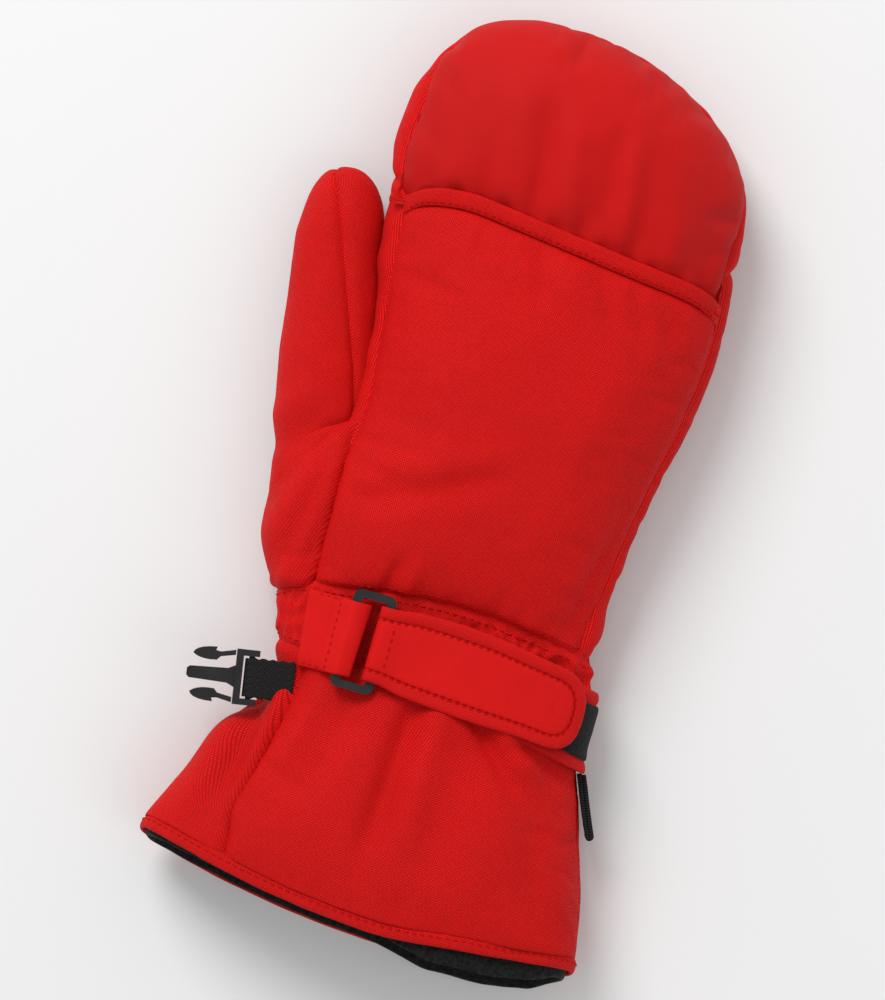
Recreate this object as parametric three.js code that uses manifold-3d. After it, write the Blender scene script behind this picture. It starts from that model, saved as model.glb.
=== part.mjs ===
// A right-hand ski mitten with a flip-back fingertip hood, a cinch strap at the wrist and a
// gauntlet cuff, lying on its palm. Millimetres. +Z is up, out of the back of the hand, +Y points
// to the fingertips and +X to the little finger. The origin is the centre of the palm, on the
// plane that the mitten rests on.
import * as THREE from "three";
import { mergeVertices } from "three/addons/utils/BufferGeometryUtils.js";
import Module from "manifold-3d";

const wasm = await Module();
wasm.setup();

// ---------------------------------------------------------------- driving dimensions
const GAP = 0.4; // between pieces that are sewn together or lie on each other
const HEM_Y = -155; // the cuff's end, before the hem's curve
const TIP_Y = 158; // the end of the fingers
const DOME_Y = 103; // where the fingertip outline starts to close
const DOME_HALF_WIDTH = 60.2;
const DOME_POWER = 2.2;
const TOP_POWER = 2.3; // roundness of the section above its widest line
const BOTTOM_POWER = 2.8; // the palm side is flatter
const WIDEST_AT = 0.44; // height of the widest line, as a share of the thickness
const PALM_PRESS = 1.6; // how far the palm is pressed flat by what it lies on

const SHELL = 1.2; // outer fabric
const FILL_OUT = SHELL + GAP; // insulation
const FILL_IN = 5.4;
const FLEECE_OUT = FILL_IN + GAP; // lining
const FLEECE_IN = 7.6;

const BACK_SEAM_Z = 34; // back panel above it, side gusset below
const PALM_SEAM_Z = 6; // palm panel below it

const WRIST_SEAM_Y = -45; // hand panels end, wrist casing starts
const CASING_END_Y = -69; // wrist casing ends, cuff starts
const CUFF_HEM_Y = HEM_Y + 5.5;

// The hood turns about this line across the back of the hand.
const HINGE_Y = 88;
const HINGE_Z = 48.2;
const HOOD_PALM_Y = 97; // the leather hem on the palm side
const HOOD_HEM_WIDTH = 7;
const SLEEVE_OUT = FLEECE_IN + 0.8; // finger sleeve inside the hood
const SLEEVE_IN = SLEEVE_OUT + 1.6;
const SLEEVE_SLIM = 0.82; // the sleeve's width as a share of the hand's
const SLEEVE_RADIUS = 38.4; // reach of the sleeve from the hood's hinge line

// The thumb turns about a vertical line through its root.
const THUMB_PIVOT = [-56, -14];
const THUMB_ROOT_R = 18;
const THUMB_TIP_Y = 92.5;
const THUMB_DOME_Y = 67;
const THUMB_TOP_Z = 32.4; // its recess in the hand ends just above this
const THUMB_SEAM_Z = 8.2; // leather below it

const STRAP_WIDTH = 28;
const KEEPER_WIDTH = 26.6;
const KEEPER_X = -51.5; // its sewn end
const STRAP_Y = -61.2;
const RING = { x: -28.5, width: 15, length: 34, bar: 3.2, thick: 2.8, lift: 4.2 };
const RING_BAR_OFFSET = (RING.width - RING.bar) / 2;
const BAR_CLEAR = 2.4; // from a bar's centre to the webbing folded round it, so it can turn
const FOLD_THICK = 1.2;

const CLIP = { x: -51, y: -82, z: 27, turn: 9.7 }; // root of the elastic, and its turn from -X
const BAND = { width: 13.6, thick: 1.2, length: 13 };
const PLUG = { width: 18.8, thick: 4.6, shoulder: 16.6 };

const PULL = { width: 12, thick: 2.2, z: 13 };

// ---------------------------------------------------------------- helpers
const clamp = (x, low, high) => Math.min(high, Math.max(low, x));

function smooth(from, to, x) {
  const t = clamp((x - from) / (to - from), 0, 1);
  return t * t * (3 - 2 * t);
}

// A smooth curve through [place, value] pairs, flat beyond its ends.
function through(pairs, at) {
  const last = pairs.length - 1;
  if (at <= pairs[0][0]) return pairs[0][1];
  if (at >= pairs[last][0]) return pairs[last][1];
  const i = pairs.findIndex((p) => p[0] > at) - 1;
  const [x0, v0] = pairs[i];
  const [x1, v1] = pairs[i + 1];
  const slope = (j) => {
    const a = pairs[Math.max(j - 1, 0)];
    const b = pairs[Math.min(j + 1, last)];
    return (b[1] - a[1]) / (b[0] - a[0]);
  };
  const h = x1 - x0;
  const t = (at - x0) / h;
  const bend0 = h * slope(i) * t * (1 - t) * (1 - t);
  const bend1 = -h * slope(i + 1) * t * t * (1 - t);
  return v0 + (v1 - v0) * t * t * (3 - 2 * t) + bend0 + bend1;
}

// A closed three.js geometry as a manifold-3d solid.
function toSolid(geometry) {
  const bare = new THREE.BufferGeometry();
  bare.setAttribute("position", geometry.getAttribute("position"));
  if (geometry.index) bare.setIndex(geometry.index);
  const merged = mergeVertices(bare, 1e-4);
  const corner = merged.index.array;
  const kept = [];
  for (let i = 0; i < corner.length; i += 3) {
    const [a, b, c] = [corner[i], corner[i + 1], corner[i + 2]];
    if (a !== b && b !== c && c !== a) kept.push(a, b, c);
  }
  const solid = new wasm.Manifold(
    new wasm.Mesh({
      numProp: 3,
      vertProperties: merged.getAttribute("position").array,
      triVerts: new Uint32Array(kept),
    }),
  );
  return solid;
}

function toGeometry(solid) {
  const mesh = solid.getMesh();
  const geometry = new THREE.BufferGeometry();
  geometry.setAttribute("position", new THREE.BufferAttribute(mesh.vertProperties, 3));
  geometry.setIndex(new THREE.BufferAttribute(mesh.triVerts, 1));
  geometry.computeVertexNormals();
  return geometry;
}

const largest = (solid) =>
  solid.decompose().reduce((a, b) => (a.volume() > b.volume() ? a : b));

function box(x, y, z) {
  const geometry = new THREE.BoxGeometry(x[1] - x[0], y[1] - y[0], z[1] - z[0]);
  geometry.translate((x[0] + x[1]) / 2, (y[0] + y[1]) / 2, (z[0] + z[1]) / 2);
  return toSolid(geometry);
}

const FAR = 400;
const above = (z) => box([-FAR, FAR], [-FAR, FAR], [z, FAR]);
const below = (z) => box([-FAR, FAR], [-FAR, FAR], [-FAR, z]);
const yBetween = (low, high) => box([-FAR, FAR], [low, high], [-FAR, FAR]);

function shapeOf(points) {
  return new THREE.Shape(points.map(([x, y]) => new THREE.Vector2(x, y)));
}

// An upright prism over a plan outline.
function prism(shape, z0, z1, curveSegments = 8) {
  const geometry = new THREE.ExtrudeGeometry(shape, {
    depth: z1 - z0,
    bevelEnabled: false,
    curveSegments,
  });
  geometry.translate(0, 0, z0);
  return toSolid(geometry);
}

// A prism that runs along X over an outline of [y, z] points.
function prismAlongX(points, x0, x1) {
  const geometry = new THREE.ExtrudeGeometry(shapeOf(points), {
    depth: x1 - x0,
    bevelEnabled: false,
  });
  geometry.applyMatrix4(
    new THREE.Matrix4().set(0, 0, 1, x0, 1, 0, 0, 0, 0, 1, 0, 0, 0, 0, 0, 1),
  );
  return toSolid(geometry);
}

function uprightCylinder([x, y], radius, z0, z1) {
  const geometry = new THREE.CylinderGeometry(radius, radius, z1 - z0, 28);
  geometry.rotateX(Math.PI / 2);
  geometry.translate(x, y, (z0 + z1) / 2);
  return toSolid(geometry);
}

// ---------------------------------------------------------------- the hand and cuff envelope
const LEFT_EDGE = [
  [HEM_Y, -84.5],
  [-130, -77],
  [-101, -66],
  [-82, -53],
  [-70, -57],
  [-54, -62],
  [-40, -66.5],
  [-26, -69.5],
  [-10, -65],
  [6, -56.5],
  [20, -54],
  [45, -54.8],
  [66, -59],
  [DOME_Y, -63.8],
];
const RIGHT_EDGE = [
  [HEM_Y, 71],
  [-130, 67],
  [-110, 61.5],
  [-90, 55.5],
  [-78, 51.5],
  [-62, 51],
  [-42, 47.5],
  [-20, 47.5],
  [0, 49.8],
  [20, 53],
  [41, 57],
  [66, 59],
  [DOME_Y, 56.6],
];
const THICKNESS = [
  [HEM_Y, 46],
  [-128, 45],
  [-104, 42],
  [-82, 38],
  [-62, 36],
  [-44, 37],
  [-20, 43],
  [12, 47],
  [50, 48],
  [DOME_Y, 47],
];
const UNDERSIDE = [
  [HEM_Y, 0],
  [-100, 0],
  [-78, 1.5],
  [-62, 2.2],
  [-44, 1.4],
  [-20, 0],
];

// Centre, half width, top and bottom of the section at y, a distance inside the outer surface.
function handSection(y, inset) {
  const underside = Math.max(through(UNDERSIDE, y), 0);
  const thick = through(THICKNESS, y);
  const widest = thick * WIDEST_AT;
  let centre = (through(LEFT_EDGE, y) + through(RIGHT_EDGE, y)) / 2;
  let half = (through(RIGHT_EDGE, y) - through(LEFT_EDGE, y)) / 2 - inset;
  let close = 1;
  if (y > DOME_Y) {
    const reach = clamp((y - DOME_Y) / (TIP_Y - inset - DOME_Y), 0, 1);
    centre -= 14.5 * reach ** 2.5;
    half = (DOME_HALF_WIDTH - inset) * (1 - reach ** DOME_POWER) ** (1 / DOME_POWER);
    close = (1 - reach ** 2.6) ** (1 / 2.6);
  }
  return {
    centre,
    half,
    widest,
    up: (thick - widest - inset) * close,
    down: (widest - underside + PALM_PRESS - inset) * close,
    floor: underside + inset,
  };
}

// The cuff's hem curves in plan, and reaches further on the palm side.
function hemShift(x, z, y) {
  const amount = 1 - smooth(HEM_Y, -95, y);
  return amount * (0.00146 * (x - 15) ** 2 - 5.5 * (1 - smooth(0, 40, z)));
}

function superPower(value, power) {
  return Math.sign(value) * Math.abs(value) ** (2 / power);
}

function sectionPoint(s, angle) {
  const c = Math.cos(angle);
  const v = Math.sin(angle);
  const power = v >= 0 ? TOP_POWER : BOTTOM_POWER;
  const x = s.centre + s.half * superPower(c, power);
  const z = s.widest + (v >= 0 ? s.up : s.down) * superPower(v, power);
  return [x, Math.max(z, s.floor)];
}

function handPoint(y, angle, inset) {
  const [x, z] = sectionPoint(handSection(y, inset), angle);
  return [x, y + hemShift(x, z, y), z];
}

// The rounded tip squeezes the section towards its widest line, so the palm lifts off the floor.
function domeStations(from, to, count) {
  return Array.from({ length: count }, (_, i) => {
    const t = (i + 1) / count;
    return from + (to - from) * Math.sin((t * Math.PI) / 2);
  });
}

// A closed loft through rings of points, each ring at one station along y.
function loft(rings) {
  const count = rings[0].length;
  const position = rings.flat(2);
  const index = [];
  const corner = (ring, i) => ring * count + (((i % count) + count) % count);
  for (let r = 0; r + 1 < rings.length; r++)
    for (let i = 0; i < count; i++) {
      index.push(corner(r, i), corner(r, i + 1), corner(r + 1, i));
      index.push(corner(r, i + 1), corner(r + 1, i + 1), corner(r + 1, i));
    }
  for (const [ring, turn] of [
    [0, 1],
    [rings.length - 1, -1],
  ]) {
    const middle = [0, 1, 2].map((k) => rings[ring].reduce((sum, p) => sum + p[k] / count, 0));
    const centre = position.length / 3;
    position.push(...middle);
    for (let i = 0; i < count; i++) index.push(centre, corner(ring, i + turn), corner(ring, i));
  }
  const geometry = new THREE.BufferGeometry();
  geometry.setAttribute("position", new THREE.Float32BufferAttribute(position, 3));
  geometry.setIndex(index);
  const solid = toSolid(geometry);
  // Rings that run the other way round give a solid that is inside out.
  return solid.volume() > 0 ? solid : toSolid(geometry.setIndex(index.reverse()));
}

const RING_POINTS = 28;
const TIP_TOUCH = 0.05; // how near the last ring comes to the tip
const HAND_STATIONS = [
  HEM_Y, -134, -112, -94, -80, -62, -45, -28, -8, 18, 52, 82, DOME_Y,
];

// The solid inside a surface whose inset may change along y. An open one runs out past the hem.
function handSolid(inset, open = false) {
  const depth = typeof inset === "number" ? () => inset : inset;
  const tipInset = depth(TIP_Y);
  const dome = domeStations(DOME_Y, TIP_Y - tipInset - TIP_TOUCH, 6);
  const stations = [...(open ? [HEM_Y - 20] : []), ...HAND_STATIONS, ...dome];
  return loft(
    stations.map((y) =>
      Array.from({ length: RING_POINTS }, (_, i) =>
        handPoint(y, (i * 2 * Math.PI) / RING_POINTS, depth(y)),
      ),
    ),
  );
}

const handLayer = (outer, inner) => handSolid(outer).subtract(handSolid(inner, true));

// ---------------------------------------------------------------- the thumb envelope
const THUMB_LEFT = [
  [-40, -70],
  [-24, -73],
  [-1, -77.6],
  [23, -82.4],
  [46, -86],
  [THUMB_DOME_Y, -88.8],
];
const THUMB_RIGHT = [
  [-40, -34],
  [-24, -38],
  [-1, -44],
  [23, -50],
  [46, -55],
  [THUMB_DOME_Y, -60.2],
];
const THUMB_THICKNESS = [
  [-40, 32],
  [0, 32],
  [40, 31],
  [THUMB_DOME_Y, 28.6],
];

function thumbPoint(y, angle, inset) {
  const left = through(THUMB_LEFT, y);
  const right = through(THUMB_RIGHT, y);
  const thick = through(THUMB_THICKNESS, y);
  let half = (right - left) / 2 - inset;
  let rise = thick / 2 - inset;
  if (y > THUMB_DOME_Y) {
    const reach = clamp((y - THUMB_DOME_Y) / (THUMB_TIP_Y - inset - THUMB_DOME_Y), 0, 1);
    const close = (1 - reach ** DOME_POWER) ** (1 / DOME_POWER);
    half *= close;
    rise *= close;
  }
  const lean = -5.5 * clamp((y - THUMB_DOME_Y) / (THUMB_TIP_Y - THUMB_DOME_Y), 0, 1) ** 2;
  const x = (left + right) / 2 + lean * 0.4 + half * superPower(Math.cos(angle), 2.15);
  const z = 0.3 + thick / 2 + rise * superPower(Math.sin(angle), 2.15);
  return [x, y, z];
}

function thumbSolid(inset, open = false) {
  const dome = domeStations(THUMB_DOME_Y, THUMB_TIP_Y - inset - TIP_TOUCH, 4);
  const stations = [...(open ? [-60] : []), -40, -4, 30, THUMB_DOME_Y, ...dome];
  return loft(
    stations.map((y) =>
      Array.from({ length: 18 }, (_, i) => thumbPoint(y, (i * 2 * Math.PI) / 18, inset)),
    ),
  );
}

// ---------------------------------------------------------------- where the pieces part
// The hood's mouth is a plane from the hinge line down to the leather hem on the palm.
const mouthSlope = (HOOD_PALM_Y - HINGE_Y) / HINGE_Z;
function beyondMouth(shift) {
  const low = HOOD_PALM_Y + mouthSlope * 20 + shift;
  const high = HINGE_Y - mouthSlope * 20 + shift;
  return prismAlongX(
    [
      [low, -20],
      [FAR, -20],
      [FAR, HINGE_Z + 20],
      [high, HINGE_Z + 20],
    ],
    -FAR,
    FAR,
  );
}
const hoodSide = beyondMouth(GAP / 2);
const handSide = beyondMouth(-GAP / 2);

const thumbRecess = uprightCylinder(THUMB_PIVOT, THUMB_ROOT_R + 0.7, -5, THUMB_TOP_Z + 0.7);
const thumbRoot = uprightCylinder(THUMB_PIVOT, THUMB_ROOT_R, -5, THUMB_TOP_Z + 0.3);
const thumbClearance = handSolid(-0.6);
const thumbZone = yBetween(THUMB_PIVOT[1], FAR).subtract(thumbClearance).add(thumbRoot);

// Everything of the hand that isn't in the hood or in the thumb's root.
const forHand = (solid) => solid.subtract(handSide).subtract(thumbRecess);
const forHood = (solid) => solid.intersect(hoodSide);
const forThumb = (solid) => solid.intersect(thumbZone);

// ---------------------------------------------------------------- materials
const red = { color: 0xd0121b, roughness: 0.72, metalness: 0 };
const FINISH = {
  shell_fabric: red,
  palm_leather: { color: 0x151517, roughness: 0.42, metalness: 0 },
  fleece: { color: 0x1b1b1c, roughness: 0.95, metalness: 0 },
  insulation: { color: 0xe8e6e0, roughness: 0.9, metalness: 0 },
  webbing: { color: 0x17171a, roughness: 0.85, metalness: 0 },
  webbing_red: { ...red, roughness: 0.8 },
  loop_pile: { color: 0x141414, roughness: 0.95, metalness: 0 },
  plastic: { color: 0x202224, roughness: 0.5, metalness: 0 },
};
const SIMPLIFY = 0.06; // how far a surface may move when its triangles are thinned out
const root = new THREE.Group();

function piece(parent, name, finish, solid) {
  const material = new THREE.MeshStandardMaterial(FINISH[finish]);
  const mesh = new THREE.Mesh(toGeometry(largest(solid).simplify(SIMPLIFY)), material);
  mesh.name = name;
  parent.add(mesh);
  return mesh;
}

// ---------------------------------------------------------------- hand, wrist and cuff
function makeHand() {
  const shell = forHand(handLayer(0, SHELL));
  const hand = shell.intersect(yBetween(WRIST_SEAM_Y + GAP / 2, FAR));
  const back = hand.intersect(above(BACK_SEAM_Z + GAP / 2));
  const hemLine = HINGE_Y - 7.5;
  piece(root, "back_panel", "shell_fabric", back.intersect(yBetween(-FAR, hemLine - GAP / 2)));
  piece(root, "back_hem", "shell_fabric", back.intersect(yBetween(hemLine + GAP / 2, FAR)));

  const side = hand.intersect(below(BACK_SEAM_Z - GAP / 2)).intersect(above(PALM_SEAM_Z + GAP / 2));
  const leftOf = box([-FAR, -10], [-FAR, FAR], [-FAR, FAR]);
  piece(root, "little_finger_gusset", "shell_fabric", side.subtract(leftOf));
  const thumbSide = side.intersect(leftOf);
  piece(root, "index_gusset", "shell_fabric", thumbSide.intersect(yBetween(-8, FAR)));
  piece(root, "thumb_base_panel", "shell_fabric", thumbSide.intersect(yBetween(-FAR, -8 - GAP)));

  const palm = hand.intersect(below(PALM_SEAM_Z - GAP / 2));
  const leatherEnd = 34;
  const lowerPalm = palm.intersect(yBetween(-FAR, leatherEnd - GAP / 2));
  piece(root, "palm_leather", "palm_leather", lowerPalm);
  const upperPalm = palm.intersect(yBetween(leatherEnd + GAP / 2, FAR));
  piece(root, "palm_panel", "shell_fabric", upperPalm);
}

function makeWristAndCuff() {
  const shell = handLayer(0, SHELL);
  const casing = shell.intersect(yBetween(CASING_END_Y + GAP / 2, WRIST_SEAM_Y - GAP / 2));
  piece(root, "wrist_casing", "shell_fabric", casing);
  const elastic = handLayer(FILL_OUT, FILL_OUT + 1.2);
  piece(root, "wrist_elastic", "webbing", elastic.intersect(yBetween(-63, -50)));

  const cuff = shell.intersect(yBetween(-FAR, CASING_END_Y - GAP / 2));
  const turnedHem = cuff.subtract(cuffBody(-GAP / 2));
  piece(root, "cuff_hem", "shell_fabric", turnedHem);
  const panels = cuff.intersect(cuffBody(GAP / 2));
  const backSeam = [
    [-47, -66],
    [-50.5, -110],
    [-55.5, -133],
    [-55, -170],
  ];
  const backRegion = (inset) =>
    prism(
      shapeOf([
        ...backSeam.map(([x, y]) => [x + inset, y]),
        [FAR, -170],
        [FAR, -66],
      ]),
      18 + inset,
      FAR,
    );
  piece(root, "cuff_back_panel", "shell_fabric", panels.intersect(backRegion(GAP / 2)));
  piece(root, "cuff_palm_panel", "shell_fabric", panels.subtract(backRegion(-GAP / 2)));
}

// The part of the envelope above the cuff's turned hem, whose edge follows the hem's curve.
function cuffBody(shift) {
  const stations = [CUFF_HEM_Y + shift, -134, -112, -94, -80, -55];
  return loft(
    stations.map((y) =>
      Array.from({ length: RING_POINTS }, (_, i) =>
        handPoint(y, (i * 2 * Math.PI) / RING_POINTS, -3),
      ),
    ),
  );
}

function makeInnerLayers() {
  const fill = forHand(handLayer(FILL_OUT, FILL_IN)).intersect(yBetween(WRIST_SEAM_Y + 1, FAR));
  piece(root, "hand_insulation", "insulation", fill);
  // The lining comes out against the shell towards the hem.
  const closeIn = (deep, near) => (y) => near + (deep - near) * smooth(-150, -80, y);
  const lining = handSolid(closeIn(FLEECE_OUT, FILL_OUT)).subtract(
    handSolid(closeIn(FLEECE_IN, FILL_OUT + 1.8), true),
  );
  piece(root, "hand_lining", "fleece", forHand(lining));
  // The sleeve is narrower than the hood, which sweeps past it, and a collar joins it to the
  // lining at the hood's mouth.
  const slim = (solid) => solid.scale([SLEEVE_SLIM, 1, 1]).translate([-3.6 * (1 - SLEEVE_SLIM), 0, 0]);
  const inside = slim(handSolid(SLEEVE_IN));
  const reach = new THREE.CylinderGeometry(SLEEVE_RADIUS, SLEEVE_RADIUS, 2 * FAR, 40);
  reach.rotateZ(Math.PI / 2);
  reach.translate(0, HINGE_Y, HINGE_Z);
  const tube = slim(handSolid(SLEEVE_OUT)).intersect(beyondMouth(-1.6)).intersect(toSolid(reach));
  const collar = handSolid(FLEECE_IN + GAP).intersect(beyondMouth(-1.6)).subtract(handSide);
  piece(root, "finger_sleeve", "fleece", tube.add(collar).subtract(inside));
}

// ---------------------------------------------------------------- flip-back hood
function makeHood() {
  const hood = new THREE.Group();
  root.add(hood);
  const shell = forHood(handLayer(0, SHELL));
  piece(hood, "hood_back_panel", "shell_fabric", shell.intersect(above(BACK_SEAM_Z + GAP / 2)));
  const side = shell.intersect(below(BACK_SEAM_Z - GAP / 2)).intersect(above(PALM_SEAM_Z + GAP / 2));
  piece(hood, "hood_gusset", "shell_fabric", side);
  const palm = shell.intersect(below(PALM_SEAM_Z - GAP / 2));
  const hemEnd = HOOD_PALM_Y + HOOD_HEM_WIDTH;
  piece(hood, "hood_leather", "palm_leather", palm.intersect(yBetween(hemEnd + GAP / 2, FAR)));
  piece(hood, "hood_hem", "palm_leather", palm.intersect(yBetween(-FAR, hemEnd - GAP / 2)));
  piece(hood, "hood_insulation", "insulation", forHood(handLayer(FILL_OUT, FILL_IN)));
  piece(hood, "hood_lining", "fleece", forHood(handLayer(FLEECE_OUT, FLEECE_IN)));
}

// ---------------------------------------------------------------- thumb
function makeThumb() {
  const thumb = new THREE.Group();
  root.add(thumb);
  const shell = forThumb(thumbSolid(0).subtract(thumbSolid(SHELL, true)));
  // A seam runs over the thumb from its tip to its crotch.
  const seamFrom = [-92, 115];
  const seamTo = [-34, -35];
  const leftOfSeam = (shift) =>
    prism(
      shapeOf([
        [-FAR, seamTo[1]],
        [seamTo[0] + shift, seamTo[1]],
        [seamFrom[0] + shift, seamFrom[1]],
        [-FAR, seamFrom[1]],
      ]),
      -FAR,
      FAR,
    );
  const cover = shell.intersect(above(THUMB_SEAM_Z + GAP / 2));
  piece(thumb, "thumb_outer_panel", "shell_fabric", cover.intersect(leftOfSeam(-GAP / 2)));
  piece(thumb, "thumb_inner_panel", "shell_fabric", cover.subtract(leftOfSeam(GAP / 2)));
  piece(thumb, "thumb_leather", "palm_leather", shell.intersect(below(THUMB_SEAM_Z - GAP / 2)));
  const fill = thumbSolid(FILL_OUT).subtract(thumbSolid(4.6, true));
  piece(thumb, "thumb_insulation", "insulation", forThumb(fill));
  const lining = thumbSolid(5).subtract(thumbSolid(6.4, true));
  piece(thumb, "thumb_lining", "fleece", forThumb(lining));
}

// ---------------------------------------------------------------- wrist strap
// A strip that lies on the wrist: u runs along it in x, v across it in y.
// It ends at a place in x, or goes on round the wrist's side to an angle of the section.
function strip({ from, to, toAngle, width, lift, droop, steps }) {
  const section = handSection(STRAP_Y, 0);
  const angleOver = (x) =>
    Math.acos(superRoot(clamp((x - section.centre) / (section.half + 3), -1, 1)));
  const first = angleOver(from);
  const last = toAngle ?? angleOver(to);
  const angleAt = (t) => first + (last - first) * t;
  const rings = Array.from({ length: steps + 1 }, (_, i) => {
    const angle = angleAt(i / steps);
    const [middleX] = sectionPoint(section, angle);
    const at = (height, side) => {
      const y = STRAP_Y - droop * (middleX - RING.x) ** 2 + (side * width) / 2;
      const [px, pz] = sectionPoint(handSection(y, -height), angle);
      return [px, y, pz];
    };
    const across = [-1, 0, 1];
    return [
      ...across.map((side) => at(lift[0], side)),
      ...across.reverse().map((side) => at(lift[1], side)),
    ];
  });
  return loft(rings);
}

function superRoot(value) {
  return Math.sign(value) * Math.abs(value) ** (TOP_POWER / 2);
}

const TAB_DROOP = 0.0008;
const BASE_DROOP = 0.0014;
const BASE_END_ANGLE = -0.8;
const wristTop = through(THICKNESS, STRAP_Y);
const RING_Z = wristTop + RING.lift;

function makeRing() {
  const ring = new THREE.Group();
  root.add(ring);
  const frame = roundedRectangle(RING.width, RING.length, 3);
  const windowPath = roundedRectangle(RING.width - 2 * RING.bar, RING.length - 2 * 2.6, 0.8);
  frame.holes.push(windowPath);
  const solid = prism(frame, -RING.thick / 2, RING.thick / 2, 4);
  piece(ring, "strap_ring", "plastic", solid.translate([RING.x, STRAP_Y, RING_Z]));
}

function roundedRectangle(width, length, radius) {
  const [w, l] = [width / 2, length / 2];
  const shape = new THREE.Shape();
  shape.moveTo(-w + radius, -l);
  shape.lineTo(w - radius, -l);
  shape.quadraticCurveTo(w, -l, w, -l + radius);
  shape.lineTo(w, l - radius);
  shape.quadraticCurveTo(w, l, w - radius, l);
  shape.lineTo(-w + radius, l);
  shape.quadraticCurveTo(-w, l, -w, l - radius);
  shape.lineTo(-w, -l + radius);
  shape.quadraticCurveTo(-w, -l, -w + radius, -l);
  return shape;
}

// Webbing folded round a bar of the ring, its two layers going on towards side (-1 left, 1 right).
function fold(barX, side, reach, width) {
  const outer = BAR_CLEAR + FOLD_THICK;
  const end = barX + side * reach;
  const xs = [Math.min(barX, end), Math.max(barX, end)];
  const y = [STRAP_Y - width / 2, STRAP_Y + width / 2];
  const layers = box(xs, y, [RING_Z - outer, RING_Z + outer]);
  const between = box(xs, [-FAR, FAR], [RING_Z - BAR_CLEAR, RING_Z + BAR_CLEAR]);
  return layers.add(roll(barX, outer, width)).subtract(between).subtract(roll(barX, BAR_CLEAR, FAR));
}

// A cylinder along one of the ring's bars.
function roll(barX, radius, width) {
  const geometry = new THREE.CylinderGeometry(radius, radius, width, 20);
  geometry.translate(barX, STRAP_Y, RING_Z);
  return toSolid(geometry);
}

function makeKeeper() {
  const barX = RING.x - RING_BAR_OFFSET;
  const around = fold(barX, -1, 9, KEEPER_WIDTH);
  const pad = strip({
    from: KEEPER_X,
    to: barX - 6.5,
    width: KEEPER_WIDTH,
    lift: [GAP, 7],
    droop: 0,
    steps: 5,
  });
  const trimmed = around.add(pad).intersect(box([KEEPER_X, FAR], [-FAR, FAR], [-FAR, FAR]));
  piece(root, "strap_keeper", "webbing_red", trimmed.subtract(handSolid(-GAP)));
}

function makeStrap() {
  const onWrist = {
    from: RING.x + RING_BAR_OFFSET + 9.5,
    toAngle: BASE_END_ANGLE,
    droop: BASE_DROOP,
    steps: 14,
  };
  const base = strip({ ...onWrist, width: STRAP_WIDTH, lift: [0.7, 2] });
  piece(root, "strap_base", "webbing_red", base.subtract(handSolid(-GAP)));
  const pile = strip({ ...onWrist, width: 19, lift: [2, 3.4] });
  const pileRegion = box([-10, FAR], [-FAR, FAR], [10, FAR]);
  const underPile = strip({ ...onWrist, width: STRAP_WIDTH, lift: [-2, 2 + GAP] });
  piece(root, "loop_tape", "loop_pile", pile.intersect(pileRegion).subtract(underPile));

  const tab = new THREE.Group();
  root.add(tab);
  const barX = RING.x + RING_BAR_OFFSET;
  const leg = strip({
    from: barX + 6,
    to: 49.6,
    width: STRAP_WIDTH,
    lift: [5.2, 7.4],
    droop: TAB_DROOP,
    steps: 12,
  });
  const clearOfRing = box([barX + 4.2, FAR], [-FAR, FAR], [-FAR, FAR]);
  const whole = leg.intersect(tabOutline(0)).intersect(clearOfRing);
  const core = whole.intersect(tabOutline(4.6 + GAP / 2));
  const edge = whole.subtract(tabOutline(4.6 - GAP / 2));
  piece(tab, "tab_binding", "webbing_red", edge);
  const around = fold(barX, 1, 7.6, STRAP_WIDTH - 9.2 - GAP);
  const overBar = around.intersect(above(RING_Z - RING.thick / 2 - 0.2));
  piece(tab, "strap_tab", "webbing_red", core.add(overBar));
  const hook = strip({
    from: 2,
    to: 43,
    width: 18,
    lift: [4.1, 4.9],
    droop: TAB_DROOP,
    steps: 8,
  });
  piece(tab, "hook_patch", "loop_pile", hook);
}

// Plan outline of the tab with its round end, drawn in by inset.
function tabOutline(inset) {
  const half = STRAP_WIDTH / 2 - inset;
  const end = 50.2 - inset;
  const radius = 11.5 - inset * 0.6;
  const start = RING.x + RING_BAR_OFFSET - 6;
  const lineY = (x) => STRAP_Y - TAB_DROOP * (x - RING.x) ** 2;
  const shape = new THREE.Shape();
  const steps = [start, 0, 20, end - radius];
  steps.forEach((x, i) =>
    i ? shape.lineTo(x, lineY(x) - half) : shape.moveTo(x, lineY(x) - half),
  );
  const endY = lineY(end);
  shape.quadraticCurveTo(end - 1, endY - half, end, endY - half + radius);
  shape.lineTo(end, endY + half - radius);
  shape.quadraticCurveTo(end - 1, endY + half, end - radius, lineY(end - radius) + half);
  [20, 0, start].forEach((x) => shape.lineTo(x, lineY(x) + half));
  return prism(shape, -FAR, FAR, 6);
}

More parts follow.
